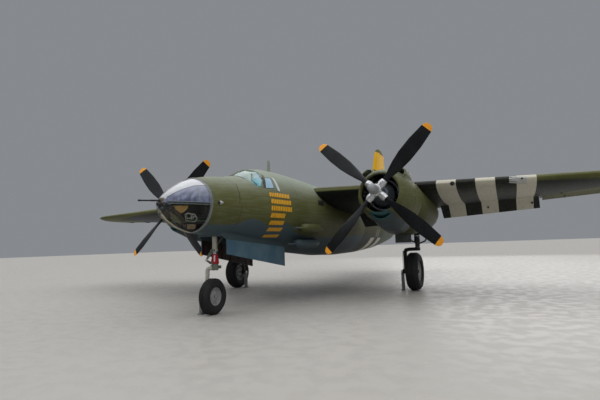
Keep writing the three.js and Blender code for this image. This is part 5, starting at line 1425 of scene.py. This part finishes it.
# MAIN GEAR. Black struts with a bright piston, scissor links behind, a forged half-fork inboard of
# the tyre, held in a clamp on the strut, and brake pipes clipped along both.
for side, sign in SIDES.items():
    leg_x, leg_y = sign * 3.56, -0.78
    leg = Bench()
    leg.turned((leg_x, leg_y, 0), UP, [(0, 1.366), (0.06, 1.366), (0.06, 1.6), (0, 1.6)], 32, 0)
    leg.turned((leg_x, leg_y, 0), UP, [(0, 1.54), (0.082, 1.54), (0.086, 1.55), (0.086, 1.6), (0.078, 1.62),
        (0.078, 2.2), (0.086, 2.21), (0.086, 2.29), (0.078, 2.3), (0.078, 2.418), (0, 2.418)], 36, 0)
    leg.bar((leg_x, leg_y + 0.05, 1.8), (leg_x, -0.14, 2.54), 0.036, sides=20, finish=0)
    leg.bar((leg_x - sign * 0.11, leg_y, 2.34), (leg_x + sign * 0.11, leg_y, 2.34), 0.05, sides=24, finish=0)
    leg.bar((leg_x - 0.06, leg_y + 0.06, 1.8), (leg_x + 0.06, leg_y + 0.06, 1.8), 0.045, sides=20, finish=0)
    for x in (-0.045, 0.045):
        leg.bar((leg_x + x, leg_y + 0.075, 1.57), (leg_x + x * 0.3, leg_y + 0.27, 1.475), 0.022, 0.016, 12,
            0)
        leg.bar((leg_x + x, leg_y + 0.075, 1.385), (leg_x + x * 0.3, leg_y + 0.27, 1.475), 0.022, 0.016, 12,
            0)
    leg.bar((leg_x - 0.035, leg_y + 0.27, 1.475), (leg_x + 0.035, leg_y + 0.27, 1.475), 0.018, sides=12,
        finish=1)
    pipe = [(leg_x + 0.085 * sign, leg_y - 0.02, 2.3), (leg_x + 0.092 * sign, leg_y - 0.02, 2),
        (leg_x + 0.09 * sign, leg_y - 0.02, 1.7), (leg_x + 0.1 * sign, leg_y - 0.03, 1.5),
        (leg_x + 0.085 * sign, leg_y - 0.03, 1.385)]
    bent_bar(leg, pipe, [0.007] * 5, 8, 2)
    for height in (1.72, 1.95, 2.18):
        leg.turned((leg_x, leg_y, height), UP, [(0.077, -0.01), (0.083, -0.01), (0.083, 0.01),
            (0.077, 0.01)], 32, 1, closed=True)
    leg.shown(f"main_strut_{side}", 35, [gear_black, bright_steel, hose_black], [f"main_leg_{side}"],
        slot="gear_black")
    fork = Bench()
    fork.turned((leg_x, leg_y, 0), UP, [(0, 1.25), (0.07, 1.25), (0.09, 1.266), (0.095, 1.3), (0.095, 1.345),
        (0.085, 1.363), (0, 1.363)], 36, 0)
    arm = [(sign * 3.6, leg_y, 1.305), (sign * 3.3, leg_y, 1.3), (sign * 3.2, leg_y, 1.28),
        (sign * 3.163, leg_y, 1.215), (sign * 3.157, leg_y, 1.05), (sign * 3.15, leg_y, 0.72),
        (sign * 3.14, leg_y, 0.592)]
    bent_bar(fork, arm, [0.052, 0.058, 0.064, 0.062, 0.056, 0.052, 0.05], 24, 0, 1.45)
    fork.bar((sign * 3.008, leg_y - 0.01, MAIN_AXLE_Z), (sign * 3.568, leg_y - 0.01, MAIN_AXLE_Z), 0.044,
        sides=28, finish=1)
    fork.turned((sign * 3.14, leg_y - 0.01, MAIN_AXLE_Z), (sign, 0, 0), [(0, -0.075), (0.072, -0.075),
        (0.078, -0.06), (0.078, 0.05), (0.072, 0.06), (0, 0.06)], 32, 0)
    fork.turned((sign * 3.552, leg_y - 0.01, MAIN_AXLE_Z), (sign, 0, 0), [(0, 0), (0.062, 0), (0.062, 0.014),
        (0.05, 0.022), (0, 0.024)], 6, 0)
    pipe = [(sign * 3.105, leg_y - 0.055, 1.25), (sign * 3.092, leg_y - 0.06, 1),
        (sign * 3.09, leg_y - 0.06, 0.78), (sign * 3.085, leg_y - 0.055, 0.66)]
    bent_bar(fork, pipe, [0.007] * 4, 8, 2)
    fork.shown(f"main_half_fork_{side}", 38, [gear_black, bright_steel, hose_black], [f"main_fork_{side}"],
        slot="gear_black")

# GEAR DOORS. Pressed sheet with ribs spot-welded inside: blue-grey outside and bare dark primer on the
# inner face; each hangs from a piano hinge along its upper edge.
def door_finish(name, sign):
    """Blue-grey on the side that faces out, dark primer on the side that faces in."""
    material, shader, place = new_finish(name, 0.5, specular=0.25)
    outside = spread(facing(place)[0] * sign, -0.1, 0.1)
    broad = mottle(place, 2.2)
    fine = mottle(place, 30, 6.0)
    blue = mix(broad, (0.045, 0.098, 0.14), (0.075, 0.13, 0.165))
    primer = mix(fine, (0.01, 0.008, 0.008), (0.032, 0.014, 0.012))
    wire(mix(outside, primer, blue), shader.inputs["Base Color"])
    relief(shader, fine, 0.0006)
    return material


primer_dark = plain_finish("primer_dark", (0.014, 0.01, 0.01), (0.035, 0.018, 0.015), 0.55, scale=14)
for side, sign in SIDES.items():
    node = f"nose_door_{side}"
    dressed(f"nose_door_sheet_{side}", node, [door_finish(f"door_paint_{side}", sign)], 30, body=node,
        slot="grey_door")
    ribs = Bench()
    door, outwards = skin_of(node), vec(sign, 0, 0)
    for station in (-6.48, -6.1, -5.7, -5.3, -4.9, -4.5, -4.2):
        way = evenly((0, station, 1.72), (0, station, 1.02), 24)
        ribs.tapes(cast_rows(door, way, outwards, 0.006, 0.06), 0.03, 0.014)
    for height in (1.2, 1.42):
        way = evenly((0, -6.52, height), (0, -4.18, height), 24)
        ribs.tapes(cast_rows(door, way, outwards, 0.005, 0.2), 0.022, 0.01)
    ribs.shown(f"nose_door_ribs_{side}", 35, [primer_dark], body=node, slot="grey_door")

# STANDS. Museum axle stands of welded grey channel: a foot plate bolted at its corners, and a jack
# screw with a saddle under each axle end.
for name in ("port", "starboard", "nose"):
    low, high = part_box(f"stand_{name}")
    middle = (low + high) / 2
    rest = Bench()
    for corner_x in (-1, 1):
        for corner_y in (-1, 1):
            spot = middle + vec(corner_x * (high.x - low.x) * 0.36, corner_y * (high.y - low.y) * 0.4, 0)
            rest.turned((spot.x, spot.y, 0.012), UP, [(0, 0), (0.01, 0), (0.01, 0.012), (0, 0.012)], 6, 1)
    rest.turned((middle.x, middle.y, high.z - 0.1), UP, [(0, 0), (0.036, 0), (0.036, 0.022), (0.028, 0.03),
        (0.028, 0.07), (0, 0.07)], 24, 1)
    rest.shown(f"stand_parts_{name}", 35, [stand_grey, gear_black], slot="stand_grey")

# TAIL. Stressed-skin fin with a long fillet and fabric-covered rudder and elevators on hinge pins.
FIN_YELLOW = (0.74, 0.4, 0.002)


def yellow_panel(tone, x, y, z):
    share = inside_band(z, 5.3, 6.33)
    return mix(share * 0.98, tone, FIN_YELLOW)


fin_paint = painted("fin_olive", None, panels=(0.9, 0.7), extra=yellow_panel, specular=0.03)
tailplane_paint = painted("tailplane_olive", None, panels=(0.8, 0.8))
dressed("fin_skin", "fin", [fin_paint], 32)
dressed("rudder_skin", "rudder", [fin_paint], 32, body="rudder", slot="doped_fabric")
for side in SIDES:
    dressed(f"tailplane_skin_{side}", f"tailplane_{side}", [tailplane_paint], 32)
    dressed(f"elevator_skin_{side}", f"elevator_{side}", [tailplane_paint], 32, body=f"elevator_{side}",
        slot="doped_fabric")

# TAIL FITTINGS. Rivet rows on the fixed fin and tailplanes; the rudder and elevators show their ribs
# as doped tapes under the fabric, with trim tabs worked by short rods and balance hinges between.
tail_rivet = painted("tail_rivet_olive", None)
tail_tape = painted("tail_tape", None, bleached_skylit_top=(3, 6.4, 0.25, 0.25))
# Rows on the fin: station and height of the start and of the end.
FIN_ROWS = ((13.9, 3.45, 16, 3.45), (14.2, 4, 16, 4), (14.5, 4.6, 16, 4.6), (14.9, 5.2, 16, 5.2),
    (15.2, 5.85, 16, 5.85), (14, 3.6, 15.25, 6), (14.5, 3.45, 15.5, 6.1), (15.5, 3.45, 15.85, 6.1))
fin_skin, rudder_skin = skin_of("fin"), skin_of("rudder")
rows = []
for station, height, end_station, end_height in FIN_ROWS:
    for sign in (1, -1):
        way = evenly((sign, station - MID_LENGTH, height), (sign, end_station - MID_LENGTH, end_height), 30)
        rows += cast_rows(fin_skin, way, vec(-sign, 0, 0))
laid_rows("fin_rivets", rivet_tree, rows, tail_rivet, Spacing=0.07)
parts = Bench()
for height in (3.6, 4, 4.4, 4.8, 5.2, 5.6, 6):
    for sign in (1, -1):
        way = evenly((sign, 7.72, height), (sign, 8.52, height + 0.02), 8)
        parts.tapes(cast_rows(rudder_skin, way, vec(-sign, 0, 0), 0.0006), 0.035, 0.002)
for sign in (1, -1):
    way = evenly((sign, 8.34, 3.62), (sign, 8.4, 4.95), 10)
    parts.tapes(cast_rows(rudder_skin, way, vec(-sign, 0, 0), 0.001), 0.012, 0.003, 1)
for x, y, end_x, end_y, radius in ((0.045, 8.05, 0.04, 8.38, 0.006), (0.03, 8.05, 0.05, 8.05, 0.01),
    (0.004, 8.38, 0.046, 8.38, 0.01)):
    parts.bar((x, y, 4.3), (end_x, end_y, 4.3), radius, sides=10, finish=1)
parts.shown("rudder_parts", 40, [fin_paint, dark_metal], body="rudder", slot="doped_fabric")
TAILPLANE_FACES = ((4.8, DOWN), (1.6, UP))
for side, sign in SIDES.items():
    plane_skin, elevator_skin = skin_of(f"tailplane_{side}"), skin_of(f"elevator_{side}")
    rows = []
    parts = Bench()
    for top, aim in TAILPLANE_FACES:
        for x in (1.1, 1.7, 2.3, 2.9, 3.5, 4):
            lead = 5.95 + x / 4.27 * 0.5
            way = evenly((sign * x, lead + 0.12, top), (sign * x, lead + 1.15 - x * 0.12, top), 10)
            rows += cast_rows(plane_skin, way, aim)
        for ahead in (0.25, 0.6, 0.95):
            way = evenly((sign * 0.95, 6.07 + ahead, top), (sign * 4.05, 6.42 + ahead * 0.6, top), 30)
            rows += cast_rows(plane_skin, way, aim)
        for i in range(9):
            x = 0.95 + i * 0.37
            way = evenly((sign * x, 7.36, top), (sign * x, 7.88 - x * 0.04, top), 8)
            parts.tapes(cast_rows(elevator_skin, way, aim, 0.0006), 0.035, 0.002)
        way = evenly((sign, 7.76, top), (sign * 2.2, 7.73, top), 12)
        parts.tapes(cast_rows(elevator_skin, way, aim, 0.001), 0.012, 0.003, 1)
    laid_rows(f"tailplane_rivets_{side}", rivet_tree, rows, tail_rivet, Spacing=0.08)
    parts.shown(f"elevator_parts_{side}", 40, [tail_tape, dark_metal], body=f"elevator_{side}",
        slot="doped_fabric")

# DORSAL TURRET. A clear moulded dome in light alloy ribs on a geared ring; two plain tubes stand for
# the guns, in rubber boots, with a gunner's cradle below them.
turret_alloy = plain_finish("turret_alloy", (0.11, 0.125, 0.1), (0.22, 0.23, 0.21), 0.4, 0.5, scale=12)
gun_steel = plain_finish("gun_steel", (0.02, 0.022, 0.025), (0.05, 0.052, 0.056), 0.36, 0.6, scale=24)
TURRET = vec(0, 3.5, 3.48)
DOME_RADIUS = 0.474
# The dome's outline: how high it has risen, and its radius there as a share of the whole.
DOME = [(0.105, 1), (0.18, 0.97), (0.255, 0.92), (0.32, 0.85), (0.375, 0.76), (0.425, 0.64), (0.465, 0.5),
    (0.488, 0.35), (0.5, 0.2)]


def flat_spoke(angle, radius=1, z=0):
    """A point of a level circle."""
    return vec(cos(angle) * radius, sin(angle) * radius, z)


def dome_lean(rise):
    """How far the dome's outward direction has turned up at a height."""
    return max(0.0, (rise - 0.105) / 0.4) * 1.6


bench = Bench()
for rib in range(10):
    angle = rib / 10 * tau + 0.314
    bench.tapes([[(TURRET + flat_spoke(angle, share * DOME_RADIUS, rise * 1.004),
        flat_spoke(angle, 1, dome_lean(rise)).normalized()) for rise, share in DOME]], 0.022, 0.008)
for rise, reach, height in ((0.105, DOME_RADIUS, 0.024), (0.375, 0.364, 0.018), (0.492, 0.135, 0.022)):
    turns = [i / 48 * tau for i in range(48)]
    bench.strap([TURRET + flat_spoke(a, reach, rise) for a in turns], [flat_spoke(a, 1,
        dome_lean(rise)).normalized() for a in turns], height, 0.008, closed=True)
bench.turned(TURRET, UP, [(0.4, 0.002), (0.478, 0.002), (0.48, 0.03), (0.476, 0.05), (0.478, 0.09),
    (0.472, 0.104), (0.4, 0.1)], 64, closed=True)
for stud in range(24):
    angle = stud / 24 * tau
    bench.turned(TURRET + flat_spoke(angle, DOME_RADIUS, 0.07), flat_spoke(angle),
        [(0, 0), (0.008, 0), (0.007, 0.006), (0, 0.007)], 6, 1)
for sign in (1, -1):
    start, end = vec(sign * 0.15, 3.8, 3.715), vec(sign * 0.15, 4.65, 3.755)
    way, long = (end - start).normalized(), (end - start).length
    bench.turned(start + way * 0.1, way, [(0.024, 0), (0.05, 0), (0.044, 0.05), (0.03, 0.1), (0.024, 0.1)],
        24, 2, closed=True)
    bench.turned(start, way, [(0, 0), (0.0265, 0), (0.0265, 0.36), (0.0275, 0.37), (0.0275, 0.4),
        (0.0262, 0.41), (0.0262, long - 0.08), (0.03, long - 0.07), (0.031, long - 0.004),
        (0, long - 0.002)], 24, 1)
    for hole in range(7):
        spot = start + way * (0.44 + hole * 0.045) + UP * 0.024
        bench.bar(spot, spot + UP * 0.006, 0.007, sides=8, finish=2)
bench.block(TURRET + vec(-0.2, -0.14, 0), TURRET + vec(0.2, 0.1, 0.05), 2)
bench.block(TURRET + vec(-0.17, 0.1, 0.1), TURRET + vec(0.17, 0.24, 0.26), 1)
bench.shown("turret_frame", 38, [turret_alloy, gun_steel, hose_black], body="dorsal_turret",
    slot="gear_pale")

# TAIL POSITION. A ribbed clear end with a flat sighting pane and two plain tubes in boots; the ribs
# are riveted round the glazing's edge.
bench = Bench()
END_MIDDLE = 2.48
glazing = skin_of("tail_position")
# Hoops: station, half width, top and bottom of the ring that the rays start from.
for station, half, top, bottom in ((16.47, 0.636, 3.124, 1.678), (16.8, 0.56, 3.05, 1.8),
    (17.03, 0.405, 2.906, 2.053)):
    ring = []
    for i in range(49):
        angle = i % 48 / 48 * tau
        reach = top - END_MIDDLE if sin(angle) > 0 else END_MIDDLE - bottom
        ring.append(vec(cos(angle) * half * 1.3, station - MID_LENGTH, END_MIDDLE + sin(angle) * reach))
    inwards = [vec(-p.x, 0, END_MIDDLE - p.z).normalized() for p in ring]
    bench.tapes(cast_rows(glazing, ring, inwards, 0.003, 0.5), 0.03, 0.006)
for angle in (90, 62, 34, 118, 146, 0, 180):
    out = spoke(radians(angle))
    starts = [vec(0, station - MID_LENGTH, END_MIDDLE) + out * 1.4
        for station in (16.48, 16.6, 16.7, 16.8, 16.9, 16.97, 17.03)]
    bench.tapes(cast_rows(glazing, starts, -out, 0.003), 0.022, 0.006)
bench.block((-0.16, 8.6, 2.42), (0.16, 8.722, 2.62), 2)
bench.shown("tail_frame", 38, [turret_alloy, gun_steel, hose_black], slot="gear_pale")

# FLIGHT DECK. Two padded seats with lap straps, a black panel of round dials, a throttle pedestal
# and a pair of half-wheel control columns, all bolted to the deck.
panel_black = plain_finish("panel_black", (0.012, 0.012, 0.012), (0.03, 0.03, 0.03), 0.5)
seat_pad = plain_finish("seat_pad", (0.06, 0.045, 0.028), (0.1, 0.078, 0.05), 0.75, scale=14)
strap_web = plain_finish("strap_web", (0.3, 0.28, 0.2), (0.22, 0.2, 0.14), 0.8, scale=30)
dial_white = plain_finish("dial_white", (0.42, 0.42, 0.4), (0.3, 0.3, 0.28), 0.4, scale=40)
deck = Bench()
low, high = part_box("instrument_panel")
for row, (height, count) in enumerate(((2.92, 10), (2.76, 12), (2.6, 12))):
    for i in range(count):
        x = (i - (count - 1) / 2) * 0.128
        if abs(x) > high.x - 0.07:
            continue
        deck.turned((x, high.y - 0.002, height), (0, 1, 0), [(0, 0), (0.05, 0), (0.05, 0.014),
            (0.043, 0.016), (0.041, 0.008), (0, 0.008)], 24, 0)
        deck.block((x - 0.0025, high.y + 0.005, height - 0.004), (x + 0.0025, high.y + 0.0085,
            height + 0.034), 1)
deck.block((-0.11, -5.79, 2.18), (0.11, -5.4, 2.66), 0, Matrix.Rotation(radians(-8), 3, "X"))
for i in range(5):
    x = -0.08 + i * 0.04
    deck.bar((x, -5.56, 2.62), (x, -5.52, 2.8), 0.006, sides=8, finish=2)
    deck.turned((x, -5.52, 2.8), (0, 0, 1), [(0, -0.016), (0.014, -0.01), (0.016, 0.004), (0, 0.016)], 12,
        3 if i % 2 else 0)
for sign in (1, -1):
    x = sign * 0.42
    deck.bar((x, -5.5, 2.17), (x, -5.42, 2.78), 0.02, sides=16, finish=0)
    rim = [vec(x + cos(radians(a)) * 0.15, -5.4, 2.8 + sin(radians(a)) * 0.13) for a in range(200, -21, -20)]
    for start, end in zip(rim, rim[1:]):
        deck.bar(start, end, 0.013, sides=10, finish=0)
    deck.bar((x - 0.13, -5.4, 2.77), (x + 0.13, -5.4, 2.77), 0.013, sides=10, finish=0)
    deck.block((x - 0.19, -5.2, 2.5), (x + 0.19, -4.76, 2.6), 4)
    deck.block((x - 0.18, -4.83, 2.62), (x + 0.18, -4.73, 3.2), 4)
    for strap_x in (-0.1, 0.1):
        deck.strap([vec(x + strap_x, -4.84, 3.18), vec(x + strap_x * 0.9, -4.845, 2.9),
            vec(x + strap_x * 0.5, -4.86, 2.64), vec(x + strap_x * 0.3, -5.0, 2.615)],
            [vec(0, -1, 0.1).normalized(), vec(0, -1, 0), vec(0, -0.8, 0.6), vec(0, 0, 1)], 0.045, 0.004, 5)
deck.shown("deck_fittings", 38, [panel_black, dial_white, bright_steel, tip_yellow, seat_pad, strap_web],
    slot="panel_black")

# What keeps its CAD shape gets its finish here: cabin, gear, doors and stands.
cabin_green = plain_finish("cabin_green", (0.05, 0.085, 0.04), (0.075, 0.105, 0.055), 0.6)
engine_iron = plain_finish("engine_iron", (0.03, 0.032, 0.034), (0.07, 0.07, 0.07), 0.5, 0.5)
door_grey = plain_finish("door_grey", (0.03, 0.038, 0.038), (0.055, 0.065, 0.062), 0.5)
for finish, nodes in [(cabin_green, ["flight_deck", "nose_floor", "crew_seat_port", "crew_seat_starboard"]),
    (panel_black, ["instrument_panel"]), (gear_black, ["gear_hoop_port", "gear_hoop_starboard"]),
    (engine_iron, ["engine_port", "engine_starboard"]), (door_grey, ["gear_front_door_port",
    "gear_front_door_starboard"]), (stand_grey, ["stand_port", "stand_starboard", "stand_nose"]),]:
    for node in nodes:
        for piece_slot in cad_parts[node].material_slots:
            piece_slot.material = finish
        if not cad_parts[node].material_slots:
            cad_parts[node].data.materials.append(finish)
